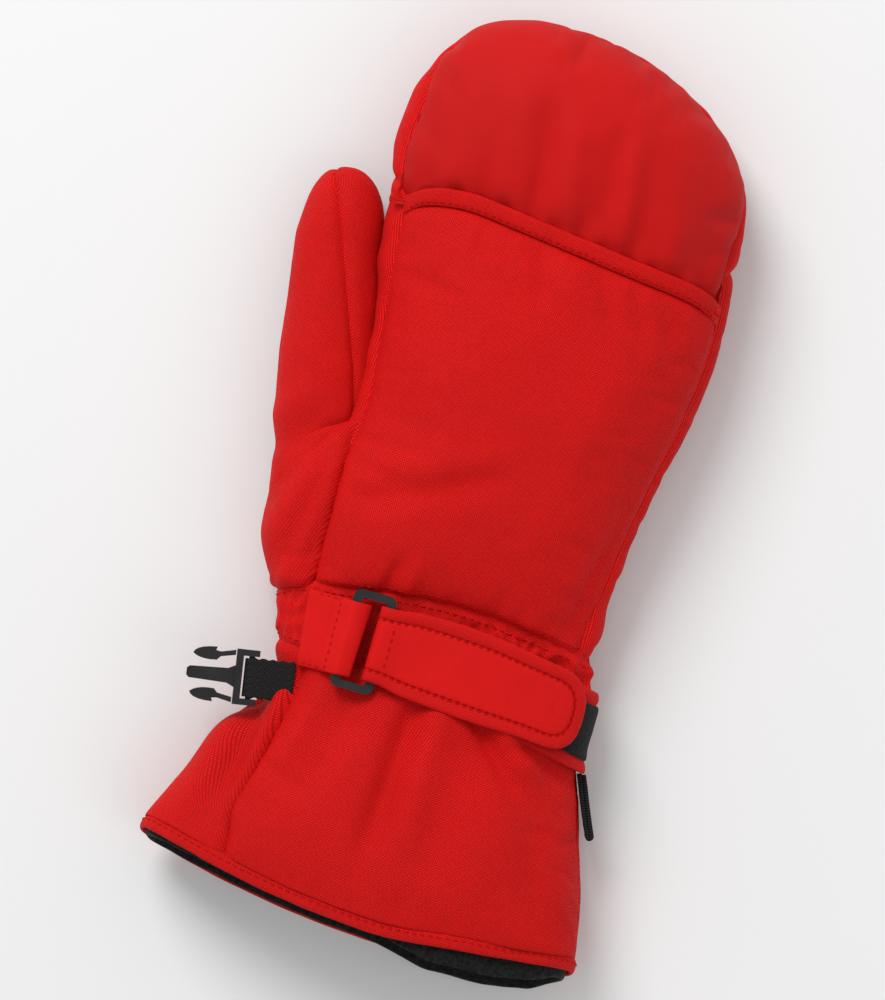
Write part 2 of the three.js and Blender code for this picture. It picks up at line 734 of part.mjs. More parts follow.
// ---------------------------------------------------------------- clip on its elastic
// Local frame: +X away from the mitten, +Z up, origin where the elastic leaves the seam.
function makeClip() {
  const clip = new THREE.Group();
  clip.position.set(CLIP.x, CLIP.y, CLIP.z);
  clip.rotation.z = THREE.MathUtils.degToRad(180 + CLIP.turn);
  root.add(clip);
  const { width, thick, length } = BAND;
  const barX = length - 1.6;
  const sleeveHalf = 1 + GAP + thick;
  const flat = box([0.5, barX], [-width / 2, width / 2], [-sleeveHalf, sleeveHalf]);
  const bandBody = flat.add(rod(barX, sleeveHalf, width));
  const slot = box([3, barX], [-FAR, FAR], [-1 - GAP, 1 + GAP]).add(rod(barX, 1 + GAP, FAR));
  const gap = box([-1, 4], [-FAR, FAR], [-0.2, 0.2]);
  const turnBack = [0, 0, -180 - CLIP.turn];
  const cuff = handSolid(-GAP).translate([-CLIP.x, -CLIP.y, -CLIP.z]).rotate(turnBack);
  const band = bandBody.subtract(slot).subtract(gap).subtract(cuff);
  piece(clip, "clip_elastic", "webbing", band);

  const half = PLUG.width / 2;
  const frontX = PLUG.shoulder;
  const rear = barX - 1;
  const outline = box([rear - 1.6, frontX], [-half, half], [-PLUG.thick / 2, PLUG.thick / 2]);
  const opening = box([rear - 5, frontX - 2.4], [-half + 2.1, half - 2.1], [-FAR, FAR]);
  const bar = rod(barX, 1, PLUG.width - 2);
  const guide = prism(
    shapeOf([
      [frontX - 1, -4.2],
      [frontX + 2.5, -2.5],
      [frontX + 15.5, -2],
      [frontX + 16.4, -1.2],
      [frontX + 16.4, 1.2],
      [frontX + 15.5, 2],
      [frontX + 2.5, 2.5],
      [frontX - 1, 4.2],
    ]),
    -1.5,
    1.5,
  );
  piece(clip, "plug_frame", "plastic", outline.subtract(opening).add(bar).add(guide));
  for (const [name, side] of [
    ["latch_arm_upper", -1],
    ["latch_arm_lower", 1],
  ])
    piece(clip, name, "plastic", latchArm(frontX + GAP, side));
}

// A round bar across the clip, at a place along it.
function rod(x, radius, width) {
  const geometry = new THREE.CylinderGeometry(radius, radius, width, 20);
  geometry.translate(x, 0, 0);
  return toSolid(geometry);
}

// A springy arm with a leaf-shaped, barbed head, on one side of the plug.
function latchArm(x, side) {
  const shape = new THREE.Shape();
  shape.moveTo(x, 7.2 * side);
  shape.lineTo(x + 5, 6.2 * side);
  shape.lineTo(x + 6.2, 4.9 * side);
  shape.quadraticCurveTo(x + 12, 4.4 * side, x + 14.4, 6.6 * side);
  shape.quadraticCurveTo(x + 13.6, 9.2 * side, x + 6.4, 9.3 * side);
  shape.lineTo(x + 6.8, 8.1 * side);
  shape.lineTo(x + 5, 7.8 * side);
  shape.lineTo(x, 8.9 * side);
  return prism(shape, -1.9, 1.9, 5);
}

// ---------------------------------------------------------------- pull loop
function makePullLoop() {
  const lineAt = (y, lift) => {
    const section = handSection(y, -lift);
    return [section.centre + section.half, y];
  };
  const ys = [-86, -91, -97, -104.5];
  const near = ys.map((y, i) => lineAt(y, 0.8 + i * 0.5));
  const far = ys.map((y, i) => lineAt(y, 0.8 + PULL.thick + i * 0.5)).reverse();
  const loop = prism(shapeOf([...near, ...far]), PULL.z - PULL.width / 2, PULL.z + PULL.width / 2);
  piece(root, "pull_loop", "webbing", loop);
}

makeHand();
makeWristAndCuff();
makeInnerLayers();
makeHood();
makeThumb();
makeRing();
makeKeeper();
makeStrap();
makeClip();
makePullLoop();

export default root;
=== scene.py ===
import math

import bpy
import numpy as np
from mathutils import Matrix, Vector, noise
from mathutils.bvhtree import BVHTree


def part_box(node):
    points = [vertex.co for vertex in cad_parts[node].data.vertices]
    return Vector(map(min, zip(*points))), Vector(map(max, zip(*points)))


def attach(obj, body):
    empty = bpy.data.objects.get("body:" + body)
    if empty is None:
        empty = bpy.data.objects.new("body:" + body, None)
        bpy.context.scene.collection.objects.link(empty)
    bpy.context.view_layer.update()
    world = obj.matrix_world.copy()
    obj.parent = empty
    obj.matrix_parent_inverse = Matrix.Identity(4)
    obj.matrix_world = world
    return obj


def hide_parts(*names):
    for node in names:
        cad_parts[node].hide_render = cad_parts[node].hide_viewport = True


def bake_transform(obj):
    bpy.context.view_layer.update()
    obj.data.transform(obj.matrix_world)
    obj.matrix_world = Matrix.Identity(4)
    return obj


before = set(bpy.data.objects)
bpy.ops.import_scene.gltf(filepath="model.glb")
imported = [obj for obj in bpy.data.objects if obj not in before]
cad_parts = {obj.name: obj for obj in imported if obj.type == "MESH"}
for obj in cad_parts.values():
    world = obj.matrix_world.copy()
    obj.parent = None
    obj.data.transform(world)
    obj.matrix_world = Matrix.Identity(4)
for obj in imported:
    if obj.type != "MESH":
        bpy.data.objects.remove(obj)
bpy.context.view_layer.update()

# Everything below is worked out in millimetres in the frame's axes, and put into metres last.
MM = 0.001
TAU = 2 * math.pi

# ------------------------------------------------------------------ the envelope, as in CAD
HEM_Y, TIP_Y, DOME_Y = -155.0, 158.0, 103.0
WIDEST_AT, PALM_PRESS = 0.44, 1.6
TOP_POWER, BOTTOM_POWER, THUMB_POWER = 2.3, 2.8, 2.15
TIP_HALF, TIP_SHIFT, TIP_POWER, CLOSE_POWER = 60.2, 14.5, 2.2, 2.6
HINGE_Y, HINGE_Z, HOOD_PALM_Y = 88.0, 48.2, 97.0
MOUTH_SLOPE = (HOOD_PALM_Y - HINGE_Y) / HINGE_Z
PALM_SEAM_Z = 6.0
DOME_SEAM_Z = 31.0
STRAP_Y = -61.2
RING_X = -28.5
RING_Z = sum(corner[2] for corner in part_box("strap_ring")) / 0.002
CLIP_X, CLIP_Y, CLIP_Z, CLIP_TURN = -51.0, -82.0, 27.0, math.radians(189.7)

LEFT_EDGE = [(HEM_Y, -84.5), (-130, -77), (-101, -66), (-82, -53), (-70, -57), (-54, -62),
             (-40, -66.5), (-26, -69.5), (-10, -65), (6, -56.5), (20, -54), (45, -54.8),
             (66, -59), (DOME_Y, -63.8)]
RIGHT_EDGE = [(HEM_Y, 71), (-130, 67), (-110, 61.5), (-90, 55.5), (-78, 51.5), (-62, 51),
              (-42, 47.5), (-20, 47.5), (0, 49.8), (20, 53), (41, 57), (66, 59), (DOME_Y, 56.6)]
THICKNESS = [(HEM_Y, 46), (-128, 45), (-104, 42), (-82, 38), (-62, 36), (-44, 37), (-20, 43),
             (12, 47), (50, 48), (DOME_Y, 47)]
UNDERSIDE = [(HEM_Y, 0), (-100, 0), (-78, 1.5), (-62, 2.2), (-44, 1.4), (-20, 0)]
THUMB_LEFT = [(-56, -60), (-40, -69), (-24, -72.6), (-1, -77.6), (23, -82.4), (46, -86), (67, -88.8)]
THUMB_RIGHT = [(-40, -34), (-24, -38), (-1, -44), (23, -50), (46, -55), (67, -60.2)]
THUMB_THICKNESS = [(-40, 32), (0, 32), (40, 31), (67, 28.6)]
THUMB_DOME_Y, THUMB_TIP_Y = 67.0, 92.5

# Lines read off the mitten, as [place, place] pairs.
BACK_SEAM = [(-48, -51), (-4, -51.7), (17.4, -50.8), (41.5, -53.1), (69, -55.7), (92, -57.5)]
HEM_EDGE = [(-57, 87.5), (-49.3, 92.1), (-35.7, 94.2), (-17.5, 92.4), (4.4, 89.8),
            (26.4, 87.3), (44.6, 85.4), (53, 83.3), (58, 80.3)]
WRIST_STITCH = [(-63, -54), (-51, -48.5), (-34, -45.8), (-14, -42.8), (7, -42.1),
                (25, -43.9), (47, -46.8), (51, -48)]
THUMB_SEAM = [(-40, -46), (0, -50), (24.7, -56.1), (39.1, -61.6), (61.3, -70.5),
              (81.8, -79.2), (88.9, -82.7)]
CUFF_SEAM = [(-160, -55), (-145.7, -54.6), (-132.7, -56.2), (-110, -51.4), (-87.7, -47.2),
             (-69, -46)]


def through(pairs, at):
    """A smooth curve through (place, value) pairs, flat beyond its ends."""
    x = np.array([p[0] for p in pairs], float)
    v = np.array([p[1] for p in pairs], float)
    step = np.arange(len(x))
    low, high = np.maximum(step - 1, 0), np.minimum(step + 1, len(x) - 1)
    slope = (v[high] - v[low]) / (x[high] - x[low])
    at = np.clip(at, x[0], x[-1])
    i = np.clip(np.searchsorted(x, at, side="right") - 1, 0, len(x) - 2)
    h = x[i + 1] - x[i]
    t = (at - x[i]) / h
    bend = h * (slope[i] * t * (1 - t) ** 2 - slope[i + 1] * t * t * (1 - t))
    return v[i] + (v[i + 1] - v[i]) * t * t * (3 - 2 * t) + bend


def lerp(a, b, t):
    return a + (b - a) * t


def spread(count):
    """Even shares from 0 to 1 down a grid's rows; .T gives them along its columns."""
    return np.linspace(0, 1, count)[:, None]


def xyz(x, y, z):
    return np.stack(np.broadcast_arrays(x, y, z), -1)


def value_at(value, place):
    """A number, or what a function gives at a place."""
    return value(place) if callable(value) else value


def smooth(low, high, x):
    t = np.clip((x - low) / (high - low), 0, 1)
    return t * t * (3 - 2 * t)


def section(y, inset=0.0):
    """Centre, half width, widest height, rise, drop and floor of the hand's section at y."""
    y = np.asarray(y, float)
    thick = through(THICKNESS, y)
    under = np.maximum(through(UNDERSIDE, y), 0)
    widest = thick * WIDEST_AT
    left, right = through(LEFT_EDGE, y), through(RIGHT_EDGE, y)
    reach = np.clip((y - DOME_Y) / (TIP_Y - inset - DOME_Y), 0, 1)
    centre = (left + right) / 2 - TIP_SHIFT * reach**2.5
    tip_half = (TIP_HALF - inset) * (1 - reach**TIP_POWER) ** (1 / TIP_POWER)
    half = np.where(y > DOME_Y, tip_half, (right - left) / 2 - inset)
    close = (1 - reach**CLOSE_POWER) ** (1 / CLOSE_POWER)
    up = (thick - widest - inset) * close
    down = (widest - under + PALM_PRESS - inset) * close
    return centre, np.maximum(half, 1e-3), widest, np.maximum(up, 1e-3), down, under + inset


def top(x, y, lift=0.0):
    centre, half, widest, up, _, _ = section(y, -lift)
    a = np.clip(np.abs(x - centre) / half, 0, 1)
    return widest + up * (1 - a**TOP_POWER) ** (1 / TOP_POWER)


def bottom(x, y):
    centre, half, widest, _, down, floor = section(y)
    a = np.clip(np.abs(x - centre) / half, 0, 1)
    return np.maximum(widest - down * (1 - a**BOTTOM_POWER) ** (1 / BOTTOM_POWER), floor)


def side(y, z, sign):
    """x of the envelope's side at y and z."""
    centre, half, widest, up, down, _ = section(y)
    above = z >= widest
    a = np.clip(np.abs(z - widest) / np.where(above, up, down), 0, 1)
    power = np.where(above, TOP_POWER, BOTTOM_POWER)
    return centre + sign * half * (1 - a**power) ** (1 / power)


def super_power(value, power):
    return np.sign(value) * np.abs(value) ** (2 / power)


def hand_at(y, angle, inset=0.0):
    """Points round the envelope; the cuff's hem curves in plan."""
    y, angle = np.broadcast_arrays(np.asarray(y, float), angle)
    centre, half, widest, up, down, floor = section(y, inset)
    c, s = np.cos(angle), np.sin(angle)
    power = np.where(s >= 0, TOP_POWER, BOTTOM_POWER)
    x = centre + half * super_power(c, power)
    z = np.maximum(widest + np.where(s >= 0, up, down) * super_power(s, power), floor)
    shift = 0.00146 * (x - 15) ** 2 - 5.5 * (1 - smooth(0, 40, z)) + 2.4 * smooth(0, 36, x)
    return xyz(x, y + shift * (1 - smooth(HEM_Y, -95, y)), z)


def thumb_section(y, inset=0.0):
    left, right = through(THUMB_LEFT, y), through(THUMB_RIGHT, y)
    thick = through(THUMB_THICKNESS, y)
    reach = np.clip((y - THUMB_DOME_Y) / (THUMB_TIP_Y - inset - THUMB_DOME_Y), 0, 1)
    close = (1 - reach**TIP_POWER) ** (1 / TIP_POWER)
    centre = (left + right) / 2 - 2.2 * reach**2
    half = np.maximum(((right - left) / 2 - inset) * close, 1e-3)
    return centre, half, 0.3 + thick / 2, np.maximum((thick / 2 - inset) * close, 1e-3)


def thumb_at(y, angle, inset=0.0):
    y, angle = np.broadcast_arrays(np.asarray(y, float), angle)
    centre, half, middle, rise = thumb_section(y, inset)
    x = centre + half * super_power(np.cos(angle), THUMB_POWER)
    return xyz(x, y, middle + rise * super_power(np.sin(angle), THUMB_POWER))


def oval_gap(dx, dz, half, rise, power):
    """Rough distance of points outside an oval, negative inside."""
    rho = (np.abs(dx / half) ** power + np.abs(dz / rise) ** power) ** (1 / power)
    return np.hypot(dx, dz) * (1 - 1 / np.maximum(rho, 1e-3))


def hand_gap(p):
    centre, half, widest, up, down, floor = section(p[..., 1])
    dx, dz = p[..., 0] - centre, p[..., 2] - widest
    power = np.where(dz >= 0, TOP_POWER, BOTTOM_POWER)
    gap = oval_gap(dx, dz, half, np.where(dz >= 0, up, down), power)
    return np.maximum(gap, floor - p[..., 2])


def thumb_gap(p):
    centre, half, middle, rise = thumb_section(p[..., 1])
    return oval_gap(p[..., 0] - centre, p[..., 2] - middle, half, rise, THUMB_POWER)


def joined_gap(p, soft=5.0):
    """The hand and the thumb's root together, with a soft crease between them."""
    a, b = hand_gap(p), thumb_gap(p)
    h = np.clip(0.5 + 0.5 * (b - a) / soft, 0, 1)
    both = b * (1 - h) + a * h - soft * h * (1 - h)
    return np.maximum(both, -p[..., 2])


def cast(start, direction, gap, reach=90.0):
    """Where rays from inside leave the surface."""
    low, high = np.zeros(start.shape[:-1]), np.full(start.shape[:-1], reach)
    for _ in range(30):
        middle = (low + high) / 2
        inside = gap(start + direction * middle[..., None]) < 0
        low, high = np.where(inside, middle, low), np.where(inside, high, middle)
    return start + direction * low[..., None]


def contour(z, count, left_y, right_y):
    """Points on the hood's outline at height z, from the thumb side over the tip, evenly spread."""
    left = np.linspace(left_y, DOME_Y, 12)[:-1]
    right = np.linspace(DOME_Y, right_y, 12)[1:]
    angle = np.linspace(math.pi, 0, 160)
    ray = xyz(np.cos(angle), np.sin(angle), 0)

    def gap(p):
        x, y, z = p[..., 0], p[..., 1], p[..., 2]
        outside = (x < side(y, z, -1)) | (x > side(y, z, 1))
        return np.where(outside | (section(y)[1] < 0.01), 1.0, -1.0)

    round_tip = cast(np.array([-3.6, DOME_Y, z]) + 0 * ray, ray, gap)
    return resample(np.concatenate([xyz(side(left, z, -1), left, z), round_tip,
                                    xyz(side(right, z, 1), right, z)]), count)


def resample(points, count):
    run = np.r_[0, np.cumsum(np.linalg.norm(np.diff(points, axis=0), axis=1))]
    at = np.linspace(0, run[-1], count)
    return np.stack([np.interp(at, run, points[:, k]) for k in range(3)], -1)


# ------------------------------------------------------------------ meshes
SHOWN = {}


def assign(target, **values):
    for key, value in values.items():
        setattr(target, key, value)


def modify(obj, kind, **values):
    change = obj.modifiers.new(kind.lower(), kind)
    assign(change, **values)
    return change


def mesh_object(name, points, faces, uv=None):
    mesh = bpy.data.meshes.new(name)
    mesh.from_pydata((np.asarray(points) * MM).tolist(), [], faces)
    if uv is not None:
        layer = mesh.uv_layers.new(name="cloth")
        corner = np.empty(len(mesh.loops), int)
        mesh.loops.foreach_get("vertex_index", corner)
        layer.data.foreach_set("uv", np.asarray(uv, np.float32)[corner].ravel())
    mesh.shade_smooth()
    obj = bpy.data.objects.new(name, mesh)
    bpy.context.scene.collection.objects.link(obj)
    return obj


def grid_faces(rows, cols, wrap=False):
    across = cols if wrap else cols - 1
    return [(r * cols + c, r * cols + (c + 1) % cols, (r + 1) * cols + (c + 1) % cols,
             (r + 1) * cols + c) for r in range(rows - 1) for c in range(across)]


def arc(points, axis):
    """Lengths along a grid's columns (0) or rows (1)."""
    run = np.cumsum(np.linalg.norm(np.diff(points, axis=axis), axis=-1), axis=axis)
    zero = np.zeros_like(np.take(run, [0], axis=axis))
    return np.concatenate([zero, run], axis=axis)


def grid_object(name, points, wrap=False, uv=None):
    """A grid of cloth, with its weave laid out by lengths along it."""
    if uv is None:
        uv = np.stack([arc(points, 1), arc(points, 0)], -1)
    SHOWN[name] = mesh_object(name, points.reshape(-1, 3), grid_faces(*points.shape[:2], wrap),
                              uv.reshape(-1, 2))
    return SHOWN[name]


def normals(points, wrap=False):
    du = np.gradient(points, axis=1)
    if wrap:
        du = (np.roll(points, -1, 1) - np.roll(points, 1, 1)) / 2
    n = np.cross(du, np.gradient(points, axis=0))
    return n / np.maximum(np.linalg.norm(n, axis=-1, keepdims=True), 1e-9)


def faces_in(points, middle, wrap=False):
    return (normals(points, wrap) * (points - np.array(middle, float))).sum() < 0


def rough(points, scale, amount, seed=0.0):
    """Smooth random heights over points."""
    shift = Vector((seed, seed * 1.7, seed * 0.3))
    flat = points.reshape(-1, 3) / scale
    value = [noise.noise(Vector(p) + shift) for p in flat.tolist()]
    return amount * np.array(value).reshape(points.shape[:-1])


def creases(points, *lines):
    """Folds' height over points, each along a line in plan and fading at both its ends.
    A line is its start x and y, its end x and y, its width and its depth."""
    height = 0
    for start_x, start_y, end_x, end_y, width, depth in lines:
        d = np.array([end_x - start_x, end_y - start_y], float)
        rel = points[..., :2] - np.array([start_x, start_y], float)
        t = (rel @ d) / (d @ d)
        off = (rel[..., 0] * d[1] - rel[..., 1] * d[0]) / np.linalg.norm(d)
        fade = smooth(-0.15, 0.2, t) * (1 - smooth(0.6, 1.15, t))
        height = height + depth * np.exp(-((off / width) ** 2)) * fade
    return height


def simulate(points, wrap, pressure, grow, cap):
    """Blows a sheet up as cloth that is held along its borders, and returns where it settles."""
    rows, cols = points.shape[:2]
    unit, frames = 0.02, 24
    mesh = bpy.data.meshes.new("trial")
    mesh.from_pydata((points.reshape(-1, 3) * unit).tolist(), [], grid_faces(rows, cols, wrap))
    obj = bpy.data.objects.new("trial", mesh)
    bpy.context.scene.collection.objects.link(obj)
    held = np.zeros((rows, cols), bool)
    held[[0, -1]] = True
    if not wrap:
        held[:, [0, -1]] = True
    group = obj.vertex_groups.new(name="held")
    group.add(np.flatnonzero(held.ravel()).tolist(), 1.0, "REPLACE")
    cloth = modify(obj, "CLOTH").settings
    assign(cloth, quality=6, mass=0.3, air_damping=2, bending_stiffness=1.2,
           vertex_group_mass="held", use_pressure=True, uniform_pressure_force=pressure,
           shrink_min=-grow, shrink_max=-grow)
    cloth.effector_weights.gravity = 0
    scene = bpy.context.scene
    for f in range(1, frames + 1):
        scene.frame_set(f)
    shape = obj.evaluated_get(bpy.context.evaluated_depsgraph_get()).data
    settled = np.empty(rows * cols * 3)
    shape.vertices.foreach_get("co", settled)
    bpy.data.objects.remove(obj)
    bpy.data.meshes.remove(mesh)
    scene.frame_set(1)
    move = settled.reshape(rows, cols, 3) / unit - points
    size = np.linalg.norm(move, axis=-1, keepdims=True)
    return points + move * np.minimum(1, cap / np.maximum(size, 1e-9))


HOOD_BEND = ("hand", "hood", (0, 0.086, 0), (0, 0.096, 0))
THUMB_BEND = ("hand", "thumb", (-0.058, -0.034, 0), (-0.060, 0.0, 0))


def finish_piece(obj, body, material, node=None):
    obj.data.materials.append(material)
    if node:
        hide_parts(node)
    if isinstance(body, tuple):
        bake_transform(obj)
    else:
        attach(obj, body)


def soften(obj):
    modify(obj, "SUBSURF", levels=1, render_levels=1)


def thicken(obj, thick):
    modify(obj, "SOLIDIFY", thickness=thick * MM, offset=-1)
    soften(obj)


def tuck(points, n, borders, reach):
    """Carries a panel's sewn borders on under its neighbours, so that no seam gapes."""
    for edge, inner, axis, depth in borders:
        if depth is None:
            continue
        grid, facing = (points, n) if axis == 0 else (points.swapaxes(0, 1), n.swapaxes(0, 1))
        way = grid[edge] - grid[inner]
        way = way / np.maximum(np.linalg.norm(way, axis=-1, keepdims=True), 1e-9)
        grid[edge] += way * reach - facing[edge] * 0.35 * reach


def panel(name, points, material, body, node, outward, seam, seam_width=1.7, bulge=0.8, folds=None,
          sim=None, wrap=False, thick=0.9, fine=0.25, reach=1.3):
    """A cloth panel that faces away from outward: blown up as cloth, dipped into its seams and
    folded, then given its thickness. seam is how deep it dips at its first row, last row, first
    column and last column, or None where it has a free edge."""
    if faces_in(points, outward, wrap):
        points = points[:, ::-1]
        seam = (seam[0], seam[1], seam[3], seam[2])
    if sim:
        points = simulate(points, wrap, **sim)
    n = normals(points, wrap)
    u, v = arc(points, 1), arc(points, 0)
    edges = [(v, seam[0]), (v[-1:] - v, seam[1])]
    borders = [(0, 1, 0, seam[0]), (-1, -2, 0, seam[1])]
    if not wrap:
        edges += [(u, seam[2]), (u[:, -1:] - u, seam[3])]
        borders += [(0, 1, 1, seam[2]), (-1, -2, 1, seam[3])]
    near = np.full(points.shape[:2], 1e3)
    height = np.zeros(points.shape[:2])
    for distance, depth in edges:
        if depth is not None:
            near = np.minimum(near, distance)
            height -= depth * np.exp(-((distance / seam_width) ** 1.4))
    height += bulge * (1 - np.exp(-near / 7.0))
    height += rough(points, 26, 0.9, 3.1) * smooth(0, 14, near) * (bulge > 0)
    height += rough(points, 7, fine, 8.2)
    if folds is not None:
        height += folds(points) * smooth(0, 3, near)
    points = points + n * height[..., None]
    tuck(points, n, borders, reach)
    points[..., 2] = np.maximum(points[..., 2], 0.05)
    # The weave's rows run straight across the hand, and its columns out from the middle one.
    u = u - u[:, u.shape[1] // 2, None]
    climb = np.abs(np.diff(points[..., 1], axis=0)).sum() / np.diff(v, axis=0).sum()
    obj = grid_object(name, points, wrap, np.stack([u, points[..., 1] if climb > 0.8 else v], -1))
    thicken(obj, thick)
    finish_piece(obj, body, material, node)


# ------------------------------------------------------------------ materials
class Graph:
    """A small helper for node materials."""

    def __init__(self, name, color, roughness, specular, sheen=0.0):
        self.material = bpy.data.materials.new(name)
        self.material.use_nodes = True
        self.tree = self.material.node_tree
        self.shader = self.tree.nodes["Principled BSDF"]
        self.fill(self.shader, {"Base Color": (*color, 1), "Roughness": roughness,
                                "Sheen Weight": sheen, "Sheen Roughness": 0.45,
                                "Specular IOR Level": specular})
        self.place = self.tree.nodes.new("ShaderNodeTexCoord").outputs
        self.normal = None

    def fill(self, node, inputs):
        for key, value in inputs.items():
            if isinstance(value, bpy.types.NodeSocket):
                self.tree.links.new(value, node.inputs[key])
            else:
                node.inputs[key].default_value = value

    def add(self, kind, inputs, output=0, **settings):
        node = self.tree.nodes.new("ShaderNode" + kind)
        assign(node, **settings)
        self.fill(node, inputs)
        return node.outputs[output]

    def noise(self, scale, detail=2.0, rough=0.5):
        return self.add("TexNoise", {"Vector": self.place["Object"], "Scale": scale,
                                     "Detail": detail, "Roughness": rough}, "Fac")

    def bump(self, height, distance, strength=1.0):
        inputs = {"Height": height, "Distance": distance, "Strength": strength}
        if self.normal is not None:
            inputs["Normal"] = self.normal
        self.normal = self.add("Bump", inputs)

    def mix(self, factor, a, b):
        a, b = (c if isinstance(c, bpy.types.NodeSocket) else (*c, 1) for c in (a, b))
        return self.add("Mix", {0: factor, 6: a, 7: b}, 2, data_type="RGBA")

    def math(self, operation, a, b=0.5):
        return self.add("Math", {0: a, 1: b}, operation=operation)

    def range(self, value, low, high, to_low=0.0, to_high=1.0):
        return self.add("MapRange", {"Value": value, "From Min": low, "From Max": high,
                                     "To Min": to_low, "To Max": to_high})

    def wear(self, worn, low, high):
        self.tree.links.new(self.range(worn, 0, 1, low, high), self.shader.inputs["Roughness"])

    def done(self, color=None):
        if color is not None:
            self.tree.links.new(color, self.shader.inputs["Base Color"])
        if self.normal is not None:
            self.tree.links.new(self.normal, self.shader.inputs["Normal"])
        return self.material


def shade(color, factor):
    return tuple(c * factor for c in color)


RED = (0.80, 0.0060, 0.0052)


def woven(name, shading, pitch, depth, rough=0.7, gap_shade=0.62, turn=0.0):
    """Plain weave: rows of short floats, each row set half a float along."""
    color = shade(RED, shading)
    g = Graph(name, color, rough, 0.14)
    uv = g.add("Mapping", {"Vector": g.place["UV"], "Scale": (1 / pitch, 1 / pitch, 1),
                           "Rotation": (0, 0, turn)})
    brick = g.add("TexBrick", {"Vector": uv, "Color1": (1, 1, 1, 1), "Color2": (0.72, 0.72, 0.72, 1),
                               "Mortar": (0, 0, 0, 1), "Scale": 1.0, "Mortar Size": 0.16,
                               "Mortar Smooth": 1.0, "Brick Width": 1.0, "Row Height": 0.62})
    thread = g.add("RGBToBW", {"Color": brick})
    broad = g.range(g.noise(26, 3), 0.3, 0.7)
    lit = g.mix(broad, shade(color, 0.93), shade(color, 1.06))
    g.bump(thread, depth * MM)
    g.bump(g.noise(900), 0.12 * MM, 0.5)
    # Painted shade: the gaps between the floats are coloured darker by gap_shade, standing in for
    # their shade; the floats' random tone is their own.
    return g.done(g.mix(g.range(thread, 0.1, 0.95), shade(color, 1 - gap_shade), lit))


def leather():
    g = Graph("pebbled_leather", (0.008, 0.008, 0.009), 0.42, 0.4)
    cell = g.add("TexVoronoi", {"Vector": g.place["Object"], "Scale": 900.0}, "Distance",
                 feature="DISTANCE_TO_EDGE")
    g.bump(g.range(cell, 0.0, 0.25), 0.16 * MM, 0.8)
    g.bump(g.noise(160, 4), 0.5 * MM, 0.5)
    worn = g.range(g.noise(45, 4), 0.35, 0.75)
    g.wear(worn, 0.36, 0.55)
    return g.done(g.mix(worn, (0.005, 0.005, 0.0055), (0.012, 0.012, 0.0125)))


def fleecy(name, low, high, scale=700.0, depth=0.9):
    g = Graph(name, high, 0.95, 0.1, 0.1)
    tuft = g.noise(scale, 4, 0.7)
    g.bump(tuft, depth * MM)
    g.bump(g.noise(90), 0.8 * MM, 0.5)
    # Painted shade: the hollows between tufts get the low colour and the tufts' tops the high one,
    # following the same noise as the bump.
    return g.done(g.mix(g.range(tuft, 0.35, 0.65), low, high))


def ribbed():
    """Elastic: narrow ribs along its length, with a zigzag between them."""
    g = Graph("ribbed_elastic", (0.008, 0.008, 0.009), 0.75, 0.2)
    u, v = (g.add("SeparateXYZ", {"Vector": g.place["UV"]}, k) for k in (0, 1))
    zig = g.math("PINGPONG", v, 1.15)
    wave = g.math("SINE", g.math("MULTIPLY", g.math("ADD", u, zig), TAU / 0.9))
    rib = g.math("ABSOLUTE", g.math("SINE", g.math("MULTIPLY", v, math.pi / 2.3)))
    g.bump(g.math("ADD", g.math("MULTIPLY", wave, 0.5), rib), 0.28 * MM)
    # Painted shade: the zigzag's hollows are coloured darker, following the same wave as the bump.
    return g.done(g.mix(g.range(wave, -0.4, 0.8), (0.003, 0.003, 0.003), (0.022, 0.022, 0.023)))


def moulded(name, color, rough):
    g = Graph(name, color, rough, 0.3)
    g.bump(g.noise(1800), 0.05 * MM, 0.6)
    worn = g.range(g.noise(120, 4), 0.35, 0.7)
    g.wear(worn, rough - 0.06, rough + 0.1)
    return g.done(g.mix(worn, shade(color, 0.85), shade(color, 1.25)))


def twisted(name, color):
    g = Graph(name, color, 0.75, 0.1)
    wave = g.add("TexWave", {"Vector": g.place["Object"], "Scale": 900.0, "Distortion": 0.5}, "Fac",
                 bands_direction="DIAGONAL")
    g.bump(wave, 0.06 * MM)
    # Painted shade: the twist's grooves are coloured darker, following the same bands as the bump.
    return g.done(g.mix(wave, shade(color, 0.8), color))


CLOTH = woven("shell_weave", 1.2, 0.86, 0.3)
DOME_CLOTH = woven("dome_weave", 0.75, 0.6, 0.1, 0.6, 0.2)
CUFF_CLOTH = woven("cuff_weave", 1.16, 0.9, 0.3)
TWILL = woven("binding_twill", 0.95, 0.9, 0.2, 0.7, 0.4, 0.8)
STRAP_CLOTH = woven("strap_weave", 0.92, 0.66, 0.1, 0.7, 0.25)
LEATHER = leather()
FLEECE = fleecy("black_fleece", (0.003, 0.003, 0.003), (0.018, 0.018, 0.019))
WADDING = fleecy("wadding", (0.55, 0.54, 0.5), (0.85, 0.84, 0.8), 260.0)
PILE = fleecy("loop_pile", (0.002, 0.002, 0.002), (0.012, 0.012, 0.012), 1500.0, 1.2)
ELASTIC = ribbed()
PLASTIC = moulded("dark_plastic", (0.010, 0.010, 0.011), 0.45)
RING_PLASTIC = moulded("ring_plastic", (0.011, 0.012, 0.013), 0.5)
THREAD = twisted("red_thread", shade(RED, 0.62))
BLACK_THREAD = twisted("black_thread", (0.03, 0.03, 0.03))


# ------------------------------------------------------------------ back of the hand
def back_of_hand(rows, cols, low, high):
    """A grid over the back between the gusset seams; low and high give y for a place across."""
    u, v = spread(cols).T, spread(rows)
    x = lerp(-52.0, 50.0, u)
    for _ in range(3):
        y = lerp(low(x), high(x), v)
        x = lerp(through(BACK_SEAM, y), side(y, 26.0, 1), u)
    return xyz(x, y, top(x, y))


def hem_edge(x):
    return through(HEM_EDGE, x)


def wrist_line(x):
    return through(WRIST_STITCH, x)


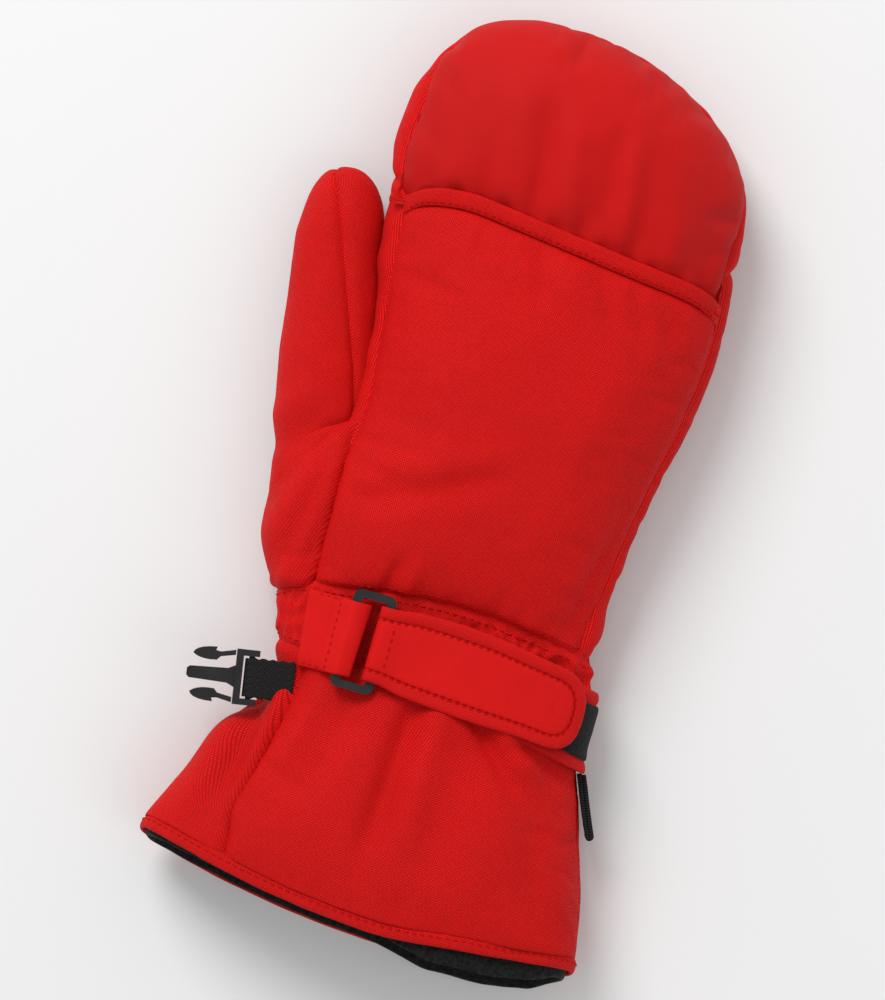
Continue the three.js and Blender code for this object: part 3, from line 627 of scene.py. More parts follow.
def back_folds(p):
    x, y = p[..., 0], p[..., 1]
    h = creases(
        p, (-42, -15, 4, 6, 5.5, -2.4), (-34, -6, 6, 14, 6, 1.4), (-27, -47, -24, -30, 1.8, -2.0),
        (-20, -47, -17, -28, 2.4, 1.3), (36, -47, 46, 6, 3.5, -2.4), (42, -30, 52, 20, 3, 1.4),
        (12, -45, 14, -30, 1.8, -0.8), (28, -46, 34, -26, 2.2, -0.8), (40, 30, 50, 66, 6, -0.8),
        (-8, 84, -2, 62, 3.0, -1.5), (2, 83, 12, 60, 4, 1.0), (14, 81, 25, 58, 3.2, -1.6),
        (26, 79, 36, 58, 3.2, -1.3), (38, 77, 47, 56, 2.8, -1.3), (-28, 86, -26, 70, 3, -0.8))
    off = np.maximum(hem_edge(x) - 6 - y, 0)
    h += np.sin(x * 0.8 + 1) * 0.4 * np.exp(-off / 6)
    return h + np.sin(x * 0.55) * 0.35 * np.exp(-(((y + 44) / 7) ** 2))


panel("back_cloth", back_of_hand(68, 56, wrist_line, lambda x: hem_edge(x) - 6.2), CLOTH, "hand",
      "back_panel", (0, 20, 0), (1.2, 0.3, 1.2, 1.2), folds=back_folds, reach=2.0,
      sim=dict(pressure=1.2, grow=0.012, cap=3.0))

band = back_of_hand(9, 56, lambda x: hem_edge(x) - 6.6, hem_edge)
rise = np.interp(spread(9), [0, 0.15, 0.4, 0.8, 0.93, 1], [0.9, 1.4, 2.0, 2.4, 2.2, 1.6])
band[..., 2] += rise * smooth(0, 0.06, spread(56).T) * (1 - smooth(0.94, 1, spread(56).T))
panel("back_hem_cloth", band, CLOTH, HOOD_BEND, "back_hem", (0, 60, 0), (0.5, None, 0.4, 0.4),
      bulge=0, thick=1.3, fine=0.35, reach=0.3)

# ------------------------------------------------------------------ hood
DOME_COLS = 84
levels = np.linspace(PALM_SEAM_Z, DOME_SEAM_Z, 15)


def dome_seam_z(p):
    """The dome's seam shows beside the fingers, and hides under the dome round the tip."""
    x, y = p[..., 0], p[..., 1]
    shown = np.where(x < -4, 1 - smooth(118, 144, y), 1 - smooth(92, 122, y))
    return lerp(20.4, DOME_SEAM_Z, shown)


def at_height(stack, z):
    """Points of a stack of contours, each column at its own height."""
    place = np.clip((z - levels[0]) / (levels[1] - levels[0]), 0, len(levels) - 1.001)
    row = place.astype(int)
    share = (place - row)[..., None]
    column = np.arange(stack.shape[1]) + 0 * row
    return stack[row, column] * (1 - share) + stack[row + 1, column] * share


def up_to_seam(stack, rows):
    z = np.full(stack.shape[1], DOME_SEAM_Z)
    for _ in range(4):
        z = dome_seam_z(at_height(stack, z))
    return at_height(stack, lerp(PALM_SEAM_Z, z, spread(rows)))


outline = up_to_seam(np.stack([contour(z, DOME_COLS, 85.0, 79.0) for z in levels]), 2)[-1]
start_x = lerp(outline[0, 0] + 0.5, outline[-1, 0] - 0.5, np.linspace(0, 1, DOME_COLS))
start = xyz(start_x, hem_edge(start_x) - 4.0, 0)
start[0, 1], start[-1, 1] = outline[0, 1], outline[-1, 1]
t = (1 - (1 - spread(44)) ** 1.5)[..., None]
dome = start * (1 - t) + outline * t
dome[..., 2] = np.maximum(top(dome[..., 0], dome[..., 1]), outline[..., 2])
dome[-1, :, 2] = outline[:, 2]


def dome_folds(p):
    x, y = p[..., 0], p[..., 1]
    off = np.maximum(y - hem_edge(x), 0)
    h = np.sin(x * 0.33 + 0.02 * y + 1.0) * 1.1 * np.exp(-off / 16) * smooth(0, 4, off)
    h += np.sin(x * 0.71 + 2.0) * 0.5 * np.exp(-off / 8)
    h -= 2.2 * np.exp(-off / 3.0)
    h += creases(
        p, (-13, 96, -18, 134, 4, -1.9), (-3, 96, -6, 132, 4, 1.3), (10, 94, 8, 132, 4, -1.7),
        (18, 93, 14, 130, 3.5, 1.0), (26, 92, 18, 128, 5, -0.9), (34, 92, 30, 126, 5, 0.8),
        (-44, 98, -50, 130, 4, -0.9), (46, 90, 50, 118, 4, -0.8))
    edge = np.hypot(x + 4, (y - 100) * 1.05)
    return h + np.sin(np.arctan2(y - 95, x + 4) * 17 + 1) * 0.22 * smooth(44, 60, edge)


panel("hood_dome_cloth", dome, DOME_CLOTH, HOOD_BEND, "hood_back_panel", (0, 120, 0),
      (None, 1.6, 1.2, 1.2), bulge=1.4, folds=dome_folds,
      sim=dict(pressure=2.6, grow=0.02, cap=4.0))

mouth_y = HOOD_PALM_Y - MOUTH_SLOPE * levels
gusset = up_to_seam(np.stack([contour(z, 110, y, y) for z, y in zip(levels, mouth_y)]), 15)


def gusset_folds(p):
    angle = np.arctan2(p[..., 1] - 100, p[..., 0] + 4)
    return np.sin(angle * 23 + p[..., 2] * 0.05) * 0.3 * np.sin(angle * 5.3) ** 2


panel("hood_gusset_cloth", gusset, CLOTH, HOOD_BEND, "hood_gusset", (0, 110, 20),
      (1.4, 1.6, 0.4, 0.4), bulge=1.4, folds=gusset_folds, reach=2.0,
      sim=dict(pressure=2.0, grow=0.01, cap=2.5))

LEATHER_Y = 104.0
sole = contour(PALM_SEAM_Z, 70, LEATHER_Y, LEATHER_Y)
line = xyz(lerp(sole[0, 0], sole[-1, 0], np.linspace(0, 1, 70)), LEATHER_Y, 0)
t = spread(30)[..., None]
tip = line * (1 - t) + sole * t
tip[..., 2] = bottom(tip[..., 0], tip[..., 1])
tip[-1, :, 2] = PALM_SEAM_Z


def leather_folds(p):
    h = np.sin(p[..., 0] * 0.5 + 1) * 0.3 * np.exp(-(p[..., 1] - LEATHER_Y) / 9)
    return h - creases(p, (-38, 121, 20, 118, 2.2, 0.7), (-10, 133, 34, 126, 2, 0.5))


panel("hood_leather_skin", tip, LEATHER, "hood", "hood_leather", (0, 120, 40),
      (0.6, 1.2, 1.2, 1.2), bulge=0.6, folds=leather_folds, thick=1.1)


def palm_grid(rows, cols, low, high, left=None):
    u, y = spread(cols).T, lerp(low, high, spread(rows))
    side_x = side(y, PALM_SEAM_Z, -1)
    x = lerp(side_x if left is None else left(y, side_x), side(y, PALM_SEAM_Z, 1), u)
    return xyz(x, y, bottom(x, y))


panel("hood_hem_skin", palm_grid(10, 60, HOOD_PALM_Y, LEATHER_Y + 0.4), LEATHER, "hood", "hood_hem",
      (0, 100, 40), (None, 0.5, 1.0, 1.0), bulge=0.3, thick=1.8)


# ------------------------------------------------------------------ sides and palm
def side_grid(rows, cols, low_y, high_z, sign):
    """Rows run up from the palm seam, columns along the hand to the hood's mouth."""
    w, s = spread(rows), spread(cols).T
    y = lerp(low_y, 92.0, s) + 0 * w
    for _ in range(3):
        z = lerp(PALM_SEAM_Z, value_at(high_z, y), w)
        y = lerp(low_y, HOOD_PALM_Y - MOUTH_SLOPE * z, s)
    return xyz(side(y, z, sign), y, z)


def seam_height(y):
    return top(through(BACK_SEAM, y), y)


def palm_left(y, side_x):
    return lerp(-48.0, side_x, smooth(4, 22, y))


panel("index_gusset_cloth", side_grid(13, 50, 0.0, seam_height, -1), CLOTH, "hand", "index_gusset",
      (0, 50, 20), (1.2, 1.0, 0.5, 0.4), bulge=1.0, reach=2.4,
      folds=lambda p: np.sin(p[..., 1] * 0.42) * 0.25 + np.sin(p[..., 1] * 0.19 + 1) * 0.25)
panel("little_finger_gusset_cloth", side_grid(13, 70, -46.5, 26.0, 1), CLOTH, "hand",
      "little_finger_gusset", (0, 20, 20), (1.2, 1.4, 1.4, 0.4), bulge=1.0, reach=2.2,
      folds=lambda p: np.sin(p[..., 1] * 0.3) * 0.5 * smooth(30, -30, p[..., 1]),
      sim=dict(pressure=1.5, grow=0.01, cap=2.0))
panel("palm_cloth", palm_grid(34, 56, 34.0, HOOD_PALM_Y - 0.6), CLOTH, "hand", "palm_panel",
      (0, 60, 40), (0.9, 0.3, 1.2, 1.2), bulge=0.0,
      folds=lambda p: 0.5 - np.abs(rough(p, 15, 1.2, 5.0)))
panel("palm_skin", palm_grid(44, 56, -46.0, 34.0, palm_left), LEATHER, "hand", "palm_leather",
      (0, 0, 40), (1.2, 0.9, 1.2, 1.2), bulge=0.0, thick=1.1,
      folds=lambda p: creases(p, (-46, 4, 34, 12, 2.5, -0.9), (-44, -16, 30, -8, 3, -0.7)))

# ------------------------------------------------------------------ thumb and its root
ROOT_MIDDLE = (-46.0, 17.0)
# How far up the hand the root's cloth reaches, from the back seam (0) to the palm (1).
CROTCH = [(0, 13.0), (0.22, 4.0), (0.5, -20.0), (0.75, -24.0), (1, -2.0)]

c = spread(46).T
y = lerp(-48.5 - 5 * np.sin(np.pi * c), through(CROTCH, c), spread(34))
high = np.arctan2(seam_height(y) - ROOT_MIDDLE[1], through(BACK_SEAM, y) - ROOT_MIDDLE[0])
angle = lerp(high, math.radians(262), c)
root_cloth = cast(xyz(ROOT_MIDDLE[0], y, ROOT_MIDDLE[1]), xyz(np.cos(angle), 0, np.sin(angle)),
                  joined_gap)


def root_folds(p):
    return creases(p, (-70, -40, -58, 2, 4, 1.2), (-64, -46, -57, -10, 3.0, -1.3),
                   (-54, -47, -53, -18, 2.5, -0.9), (-60, -50, -66, -30, 3, 0.8))


panel("thumb_base_cloth", root_cloth, CLOTH, "hand", "thumb_base_panel", (-48, -15, 17),
      (1.4, 1.8, 1.6, 1.0), bulge=0.9, folds=root_folds,
      sim=dict(pressure=1.4, grow=0.012, cap=2.0))


def angle_of(offset, power):
    """The angle of a point of an oval's upper half, from its place across."""
    a = np.clip(offset, -0.999, 0.999)
    return np.arccos(np.sign(a) * np.abs(a) ** (power / 2))


def thumb_top_angle(y):
    """The seam's angle round the thumb."""
    centre, half, _, _ = thumb_section(y)
    return angle_of((through(THUMB_SEAM, y) - centre) / half, THUMB_POWER)


def thumb_grid(rows, cols, first, last, low):
    w, s = spread(cols).T, spread(rows)
    y0 = value_at(low, w)
    straight = np.clip(s / 0.72, 0, 1)
    round_off = np.sin(np.clip((s - 0.72) / 0.28, 0, 1) * math.pi / 2)
    y = lerp(y0, THUMB_DOME_Y, straight) + (THUMB_TIP_Y - 0.02 - THUMB_DOME_Y) * round_off
    p = thumb_at(y, lerp(value_at(first, y), value_at(last, y), w))
    inward = 1.6 * (1 - smooth(0, 7, y - y0))
    centre = thumb_section(y)
    p[..., 0] += np.sign(centre[0] - p[..., 0]) * inward * 0.7
    p[..., 2] += np.sign(centre[2] - p[..., 2]) * inward
    return p


LEATHER_ANGLE = math.radians(34)
THUMB_MIDDLE = (-72, 30, 16)
OUTER_ROOT = [(0, 6.0), (0.25, 0.0), (0.6, -25.0), (1, -30.0)]
outer = thumb_grid(62, 34, thumb_top_angle, math.pi + LEATHER_ANGLE,
                   lambda w: through(OUTER_ROOT, w))
inner = thumb_grid(50, 24, -LEATHER_ANGLE, thumb_top_angle, 2.0)
pad = thumb_grid(62, 24, math.pi + LEATHER_ANGLE, TAU - LEATHER_ANGLE,
                 lambda w: lerp(-28.0, -10.0, w))
panel("thumb_outer_cloth", outer, CLOTH, THUMB_BEND, "thumb_outer_panel", THUMB_MIDDLE,
      (0.5, None, 1.3, 1.1), bulge=1.0,
      folds=lambda p: creases(p, (-78, -8, -62, 8, 3.5, -1.3), (-80, 2, -66, 18, 4, 0.9),
                              (-82, 30, -80, 70, 5, -0.6)))
panel("thumb_inner_cloth", inner, CLOTH, THUMB_BEND, "thumb_inner_panel", THUMB_MIDDLE,
      (0.5, None, 1.1, 1.3), bulge=1.0)
panel("thumb_skin", pad, LEATHER, THUMB_BEND, "thumb_leather", THUMB_MIDDLE,
      (0.5, None, 1.1, 1.1), bulge=0.5)


# ------------------------------------------------------------------ wrist and cuff
def ring_place(a):
    """x of a place round the wrist."""
    return hand_at(-60.0, a)[..., 0]


def casing_top(x, a):
    """y of the casing's upper edge, at a place round the wrist."""
    return np.where(np.sin(a) > 0, wrist_line(x), -46.0 - 6 * smooth(-50, -62, x))


def ruched(p):
    """Cloth gathered by the elastic inside it: sharp little folds that run along the arm."""
    x, y = p[..., 0], p[..., 1]
    along = x + 1.4 * np.sin(y * 0.33 + x * 0.21)
    wave = 1 - 2 * np.abs(np.sin(along * 0.62 + np.sin(x * 0.23) * 1.3)) ** 0.7
    across = np.sin((y + 44) * 0.95 + np.sin(x * 0.3) * 1.6)
    return (0.55 + 0.75 * smooth(-5, 15, x)) * (0.95 * wave + 0.55 * across)


a = np.linspace(0, TAU, 260, endpoint=False)[None, :]
casing = hand_at(lerp(-69.5, casing_top(ring_place(a), a), spread(22)), a)
panel("wrist_casing_cloth", casing, CLOTH, "hand", "wrist_casing", (-4, -58, 18),
      (0.8, 0.7, None, None), bulge=0.3, folds=ruched, wrap=True, seam_width=1.3, reach=3.2)


def cuff_seam_angle(y):
    centre, half, *_ = section(y)
    return angle_of((through(CUFF_SEAM, y) - centre) / half, TOP_POWER)


def cuff_grid(rows, cols, first, last):
    w, y = spread(cols).T, lerp(-150.5, -68.0, spread(rows))
    return hand_at(y, lerp(value_at(first, y), value_at(last, y), w))


def cuff_folds(p):
    x, y = p[..., 0], p[..., 1]
    return 0.8 * np.sin(x * 0.55 + 0.6) * np.exp(-np.abs(y + 69) / 9.0) + creases(
        p, (-6, -72, -9, -132, 3.8, -4.2), (4, -70, 3, -136, 6.0, 2.8),
        (13, -74, 36, -98, 3.0, -3.4), (21, -72, 44, -94, 4, 2.4), (30, -80, 56, -90, 2.6, -2.4),
        (-24, -72, -34, -120, 6, -1.8), (-36, -74, -46, -114, 4.0, 1.8),
        (24, -92, 30, -140, 9, 1.4), (-56, -84, -63, -130, 3.8, -3.4),
        (-50, -80, -54, -118, 3.2, 2.0), (-64, -100, -73, -138, 4.5, 2.2),
        (44, -100, 54, -144, 6, -1.2))


RIGHT_TURN = math.radians(2)
CUFF_MIDDLE = (0, -110, 18)
panel("cuff_back_cloth", cuff_grid(52, 84, RIGHT_TURN, cuff_seam_angle), CUFF_CLOTH, "hand",
      "cuff_back_panel", CUFF_MIDDLE, (None, 1.5, 1.2, 1.3), folds=cuff_folds,
      sim=dict(pressure=1.2, grow=0.014, cap=3.0))
panel("cuff_palm_cloth", cuff_grid(52, 100, cuff_seam_angle, TAU + RIGHT_TURN), CUFF_CLOTH, "hand",
      "cuff_palm_panel", CUFF_MIDDLE, (None, 1.5, 1.3, 1.2), bulge=0.6,
      folds=lambda p: np.where(p[..., 2] > 14, cuff_folds(p), -0.4 * np.abs(rough(p, 14, 2, 2))))


def tube(name, at, stations, cols, material, body, node, wave=0.0, grain=(5, 0.0), fit=None):
    """A closed ring of material: stations are (y, inset, tilt) round its profile, where a tilt of
    1 lies in the plane of the hood's mouth."""
    a = np.linspace(0, TAU, cols, endpoint=False)
    rings = np.stack([at(y - tilt * MOUTH_SLOPE * at(y, a, inset)[..., 2], a, inset)
                      for y, inset, tilt in stations])
    if fit is not None:
        rings[..., 1] += fit(rings)
    if wave:
        rings += normals(rings, True) * rough(rings, grain[0], wave, grain[1])[..., None]
    rings[..., 2] = np.maximum(rings[..., 2], 0.1)
    obj = grid_object(name, np.concatenate([rings, rings[:1]]), True)
    modify(obj, "WELD", merge_threshold=1e-6)
    soften(obj)
    finish_piece(obj, body, material, node)


EDGE = [(-149.6, 0.5, 0), (-150.6, -0.5, 0), (-152.5, -0.7, 0), (-154.4, -0.3, 0),
        (-155.2, 0.5, 0), (-155.0, 1.3, 0), (-153.5, 1.6, 0), (-149.0, 1.6, 0)]
tube("cuff_hem_cloth", hand_at, EDGE, 170, CUFF_CLOTH, "hand", "cuff_hem", 0.25, (6, 1.5))


# ------------------------------------------------------------------ inside
def along_hand(first, last, inset):
    """Stations up the hand that lean into the plane of the hood's mouth."""
    return [(y, inset, float(smooth(45, 96, y))) for y in np.linspace(first, last, 14)]


def lining_edge(p):
    """The lining hangs out of the cuff under the little finger, and is just seen elsewhere."""
    out = np.interp(p[..., 0], [-80, -40, 2, 10, 22, 42, 58, 66],
                    [-2.0, -2.6, -2.4, -0.4, 3.6, 5.0, 3.8, 0.6])
    return -out * (1 - smooth(-155, -140, p[..., 1]))


def shell_between(ends, outer, inner, tip):
    """Stations out along a closed end, round its tip and back inside; ends are (y, tilt)."""
    return [*((y, outer, k) for y, k in ends), (tip - outer, outer, 0), (tip - inner, inner, 0),
            *((y, inner, k) for y, k in reversed(ends))]


hood_ends = [(97.6, 1), (108, 0.6), (120, 0.2), (135, 0), (146, 0)]
thumb_ends = [(y, 0) for y in (-30, -10, 10, 30, 50, 67, 80)]
hood_tip, thumb_tip = TIP_Y - 0.2, THUMB_TIP_Y - 0.2
lining = [(-150, 2.6, 0), (-155.6, 2.2, 0), (-157.2, 2.9, 0), (-156.8, 3.9, 0), (-153, 4.3, 0),
          (-140, 4.8, 0), (-120, 6.2, 0), (-100, 7.2, 0), (-80, 7.7, 0), (-60, 7.8, 0),
          *along_hand(-44, 96.6, 7.8), *along_hand(-44, 96.6, 6.4)[::-1], (-60, 6.4, 0),
          (-80, 6.4, 0), (-100, 5.8, 0), (-120, 4.6, 0)]
wadding = [*along_hand(-43, 96.2, 5.4), *along_hand(-43, 96.2, 3.8)[::-1]]
elastic = [(-63, 2.6, 0), (-50, 2.6, 0), (-50, 3.6, 0), (-63, 3.6, 0)]

tube("fleece_lining", hand_at, lining, 150, FLEECE, "hand", "hand_lining", 0.35, fit=lining_edge)
tube("hand_wadding", hand_at, wadding, 80, WADDING, "hand", "hand_insulation")
tube("hood_wadding", hand_at, shell_between(hood_ends, 3.6, 5.4, hood_tip), 80, WADDING, HOOD_BEND,
     "hood_insulation")
tube("hood_fleece", hand_at, shell_between(hood_ends, 6.0, 7.8, hood_tip), 90, FLEECE, HOOD_BEND,
     "hood_lining", 0.2)
tube("thumb_wadding", thumb_at, shell_between(thumb_ends, 3.2, 4.8, thumb_tip), 40, WADDING,
     THUMB_BEND, "thumb_insulation")
tube("thumb_fleece", thumb_at, shell_between(thumb_ends, 5.2, 6.6, thumb_tip), 40, FLEECE,
     THUMB_BEND, "thumb_lining", 0.2)
tube("wrist_elastic_band", hand_at, elastic, 80, ELASTIC, "hand", "wrist_elastic")

SLEEVE_X, SLEEVE_REACH, SLIM = -3.6, 37.4, 0.825


def sleeve_ring(share, inset, slim, back):
    """A ring of the finger sleeve, a share of the way out from the hood's mouth."""
    a = np.linspace(0, TAU, 90, endpoint=False)
    z = hand_at(98.0, a, inset)[..., 2]
    for _ in range(3):
        mouth = HOOD_PALM_Y - MOUTH_SLOPE * z - back
        end = HINGE_Y + np.sqrt(np.maximum(SLEEVE_REACH**2 - (HINGE_Z - z) ** 2, 4))
        p = hand_at(lerp(mouth, np.maximum(end, mouth + 2), share), a, inset)
        z = p[..., 2]
    p[..., 0] = SLEEVE_X + (p[..., 0] - SLEEVE_X) * slim
    return p


# A narrow fleece tube out of the hood's mouth, with a collar round its root and a rolled end.
sleeve = grid_object("finger_sleeve_fleece", np.stack([sleeve_ring(*place) for place in (
    (0, 8.2, 0.99, 1.8), (0, 8.8, 0.84, 1.8), (0, 8.6, SLIM, 0.2),
    *((s, 8.7 + 0.5 * math.sin(s * 40), SLIM, 0) for s in np.linspace(0.1, 0.9, 12)),
    (0.97, 8.4, SLIM, 0), (1.0, 8.8, SLIM, 0), (1.0, 9.8, SLIM, 0), (0.96, 10.2, SLIM, 0),
    *((s, 10.0, SLIM, 0) for s in (0.85, 0.6, 0.3, 0.1)), (0, 9.8, 0.84, 0.6))]), True)
thicken(sleeve, 0.5)
finish_piece(sleeve, "hand", FLEECE, "finger_sleeve")

# ------------------------------------------------------------------ wrist strap
BAR_LEFT, BAR_RIGHT = RING_X - 5.9, RING_X + 5.9
TAB_ROOT, TAB_ROUND_X, TAB_ROUND = -26.3, 37.8, 12.4
TAB_HALF = [(-27, 13.1), (-20, 13.3), (-11, 14.8), (12, 15.3), (30, 14.2), (50, 13.6)]
ROLL = 3.46


def tab_line(x):
    return STRAP_Y + 0.4 - 0.0009 * (x - RING_X) ** 2


def tab_half(x):
    return through(TAB_HALF, x)


def tab_outline(count):
    """The tab's edge from its root along the top, round its end and back along the bottom."""
    x = np.linspace(TAB_ROOT, TAB_ROUND_X, 40)
    turn = np.linspace(math.pi / 2, -math.pi / 2, 30)[1:-1]
    end_x = TAB_ROUND_X + TAB_ROUND * super_power(np.cos(turn), 2 / 0.75)
    end_y = tab_line(end_x) + tab_half(end_x) * super_power(np.sin(turn), 2 / 0.75)
    path = np.concatenate([xyz(x, tab_line(x) + tab_half(x), 0), xyz(end_x, end_y, 0),
                           xyz(x, tab_line(x) - tab_half(x), 0)[::-1]])
    return resample(path, count)[:, :2]


def tab_place(share, rise, count=150):
    """The tab's surface, a share of the way from its edge to its middle line: over the wrist, then
    rolled round the ring's bar at its root."""
    edge = tab_outline(count)
    spine_x = np.clip(edge[:, 0], TAB_ROOT, 38.0)
    x, y = (edge + (np.stack([spine_x, tab_line(spine_x)], -1) - edge) * share).T
    over = np.clip((BAR_RIGHT - x) * 0.93, 0, 3.45)
    z = lerp(top(np.maximum(x, BAR_RIGHT), y, 6.6), RING_Z + 3.4,
             1 - smooth(BAR_RIGHT, BAR_RIGHT + 9, x))
    return xyz(x, y, z - (3.4 - np.sqrt(np.maximum(ROLL**2 - over**2, 0))) + rise)


def strap_piece(name, points, body, material, node, thick, ripple, closed=False):
    if normals(points)[..., 2].mean() < 0:
        points = points[:, ::-1]
    points[..., 2] += rough(points, *ripple)
    obj = grid_object(name, points, uv=points[..., :2])
    if closed:
        modify(obj, "WELD", merge_threshold=0.45 * MM)
    thicken(obj, thick)
    finish_piece(obj, body, material, node)


binding = [(0, -0.7), (0.015, 0.05), (0.06, 0.55), (0.13, 0.75), (0.22, 0.65), (0.28, 0.4),
           (0.315, 0.1), (0.36, -0.7)]
core = [(0.29, -0.6), (0.335, 0.1), (0.375, 0.4), (0.45, 0.55), (0.6, 0.6), (0.8, 0.62), (1, 0.62)]
for name, loops, material, node in (("tab_binding_cloth", binding, TWILL, "tab_binding"),
                                    ("tab_core_cloth", core, STRAP_CLOTH, "strap_tab")):
    strap_piece(name, np.stack([tab_place(*loop) for loop in loops]), "tab", material, node, 1.5,
                (9, 0.25, 4.0), closed=loops[-1][0] == 1)

# The keeper: a folded band, sewn down at its thumb end and rolled over the ring's other bar.
KEEPER_LIFT = [(-52, 2.6), (-42, 3.6), (-38, 6.4), (-35, 7.4)]
v, u = np.linspace(-1, 1, 31)[:, None], spread(40).T
x = lerp(lerp(-48.4, -51.6, (v + 1) / 2), lerp(-29.6, -28.6, (v + 1) / 2), u)
y = lerp(-62.3, -61.4, u) + v * lerp(13.4, 12.9, u)
over = np.clip(x - BAR_LEFT, 0, 5.35)
z = lerp(top(x, y) + through(KEEPER_LIFT, x), RING_Z + 3.5, smooth(-38, BAR_LEFT, x))
z = z - 3.6 + 3.6 * np.sqrt(np.maximum(1 - (over / 5.4) ** 2, 0))
edge = (1 - np.abs(v)) * 13.5
z = z - 0.8 * np.exp(-edge / 0.7) - 0.55 * np.exp(-(((x + 41) / 0.8) ** 2))
z = z - 0.25 * np.exp(-(((edge - 1.5) / 0.5) ** 2)) - 1.6 * (1 - smooth(0, 0.07, u))
strap_piece("keeper_cloth", xyz(x, y, z), "hand", STRAP_CLOTH, "strap_keeper", 1.6, (8, 0.35, 6.0))


def base_strip(name, half, lift, profile, first, last, material, node, thick):
    """A strip round the wrist under the tab, from place first to angle last; profile is its
    (distance from its edge, height) pairs."""
    centre, across, *_ = section(STRAP_Y)
    a = lerp(angle_of((first - centre) / (across + lift), TOP_POWER), last, spread(70).T)
    v = np.linspace(-1, 1, 29)[:, None]
    x = hand_at(STRAP_Y, a, -lift)[..., 0]
    y = STRAP_Y - 0.0014 * (x - RING_X) ** 2 + v * half
    rise = np.interp((1 - np.abs(v)) * half, *zip(*profile))
    p = hand_at(y, a, -(lift + rise + 0 * y))
    p[..., 1] = y
    p[..., 2] = np.maximum(p[..., 2], 0.3)
    if faces_in(p, (centre, STRAP_Y, 17.0)):
        p = p[:, ::-1]
    obj = grid_object(name, p + normals(p) * rough(p, 8, 0.3, 2.2)[..., None])
    thicken(obj, thick)
    finish_piece(obj, "hand", material, node)


BOUND = [(0, 0), (0.5, 0.7), (1.5, 1.0), (3.2, 0.95), (4.2, 0.5), (4.7, 0.0), (5.2, 0.1), (14, 0.1)]
LOOPS = [(0, 0), (0.4, 0.45), (1.2, 0.7), (10, 0.7)]
base_strip("strap_base_cloth", 14.2, 2.2, BOUND, -16.0, -0.75, TWILL, "strap_base", 1.2)
base_strip("loop_pile_tape", 9.6, 2.9, LOOPS, -9.0, -0.35, PILE, "loop_tape", 0.8)


# ------------------------------------------------------------------ clip and pull loop
def out_of_clip(x, y, z):
    """From the clip's own axes, +X away from the mitten, into the frame."""
    c, s = math.cos(CLIP_TURN), math.sin(CLIP_TURN)
    return xyz(CLIP_X + x * c - y * s, CLIP_Y + x * s + y * c, CLIP_Z + z)


# Ribbed elastic, folded once round the plug's bar.
reach, radius, half, root = 11.4, 1.6, 6.7, -3.6
out = np.linspace(root, reach, 14)
flat = radius * (0.55 + 0.45 * smooth(2, 9, out))
turn = np.linspace(math.pi / 2, -math.pi / 2, 12)[1:-1]
along = np.r_[out, reach + radius * np.cos(turn), out[::-1]]
up = np.r_[flat, radius * np.sin(turn), -flat[::-1]]
width = np.linspace(-half, half, 24)[:, None] * (1 + 0.05 * np.sin(along * 1.9))
obj = grid_object("elastic_band", out_of_clip(along, width, up))
modify(obj, "SOLIDIFY", thickness=1.3 * MM, offset=0)
modify(obj, "BEVEL", width=0.35 * MM, segments=2, limit_method="ANGLE")
finish_piece(obj, "hand", ELASTIC, "clip_elastic")

# A short folded tape that hangs from the side seam.
s = np.linspace(0, 1, 16)
y = lerp(-85.0, -104.2, s)
edge = side(y, 13.0, 1) + 1.9 + 2.4 * s**1.5
turn = np.linspace(math.pi / 2, -math.pi / 2, 7)[1:-1]
loop_x = np.r_[edge + 0.75, edge[-1] + 0.75 * np.sin(turn), edge[::-1] - 0.75]
loop_y = np.r_[y, y[-1] - 0.9 * np.cos(turn), y[::-1]]
obj = grid_object("pull_tape", xyz(loop_x, loop_y, np.linspace(7.4, 18.6, 12)[:, None]))
modify(obj, "SOLIDIFY", thickness=1.6 * MM, offset=0)
finish_piece(obj, "pull", ELASTIC, "pull_loop")

for node, material, width in (("strap_ring", RING_PLASTIC, 0.6), ("plug_frame", PLASTIC, 0.35),
                              ("latch_arm_upper", PLASTIC, 0.5), ("latch_arm_lower", PLASTIC, 0.5),
                              ("hook_patch", PILE, 0.2)):
    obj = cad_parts[node]
    for slot in obj.material_slots:
        slot.material = material
    modify(obj, "BEVEL", width=width * MM, segments=3, limit_method="ANGLE",
           angle_limit=math.radians(28), harden_normals=True)

# ------------------------------------------------------------------ stitches
# A stitch's rings: share of its length, thickness and how deep it dives.
STITCH = ((0.0, 0.45, -0.9), (0.15, 0.9, -0.1), (0.5, 1.0, 0.12), (0.85, 0.9, -0.1),
          (1.0, 0.45, -0.9))
STITCH_SIDES, STITCH_SINK = 6, 0.05


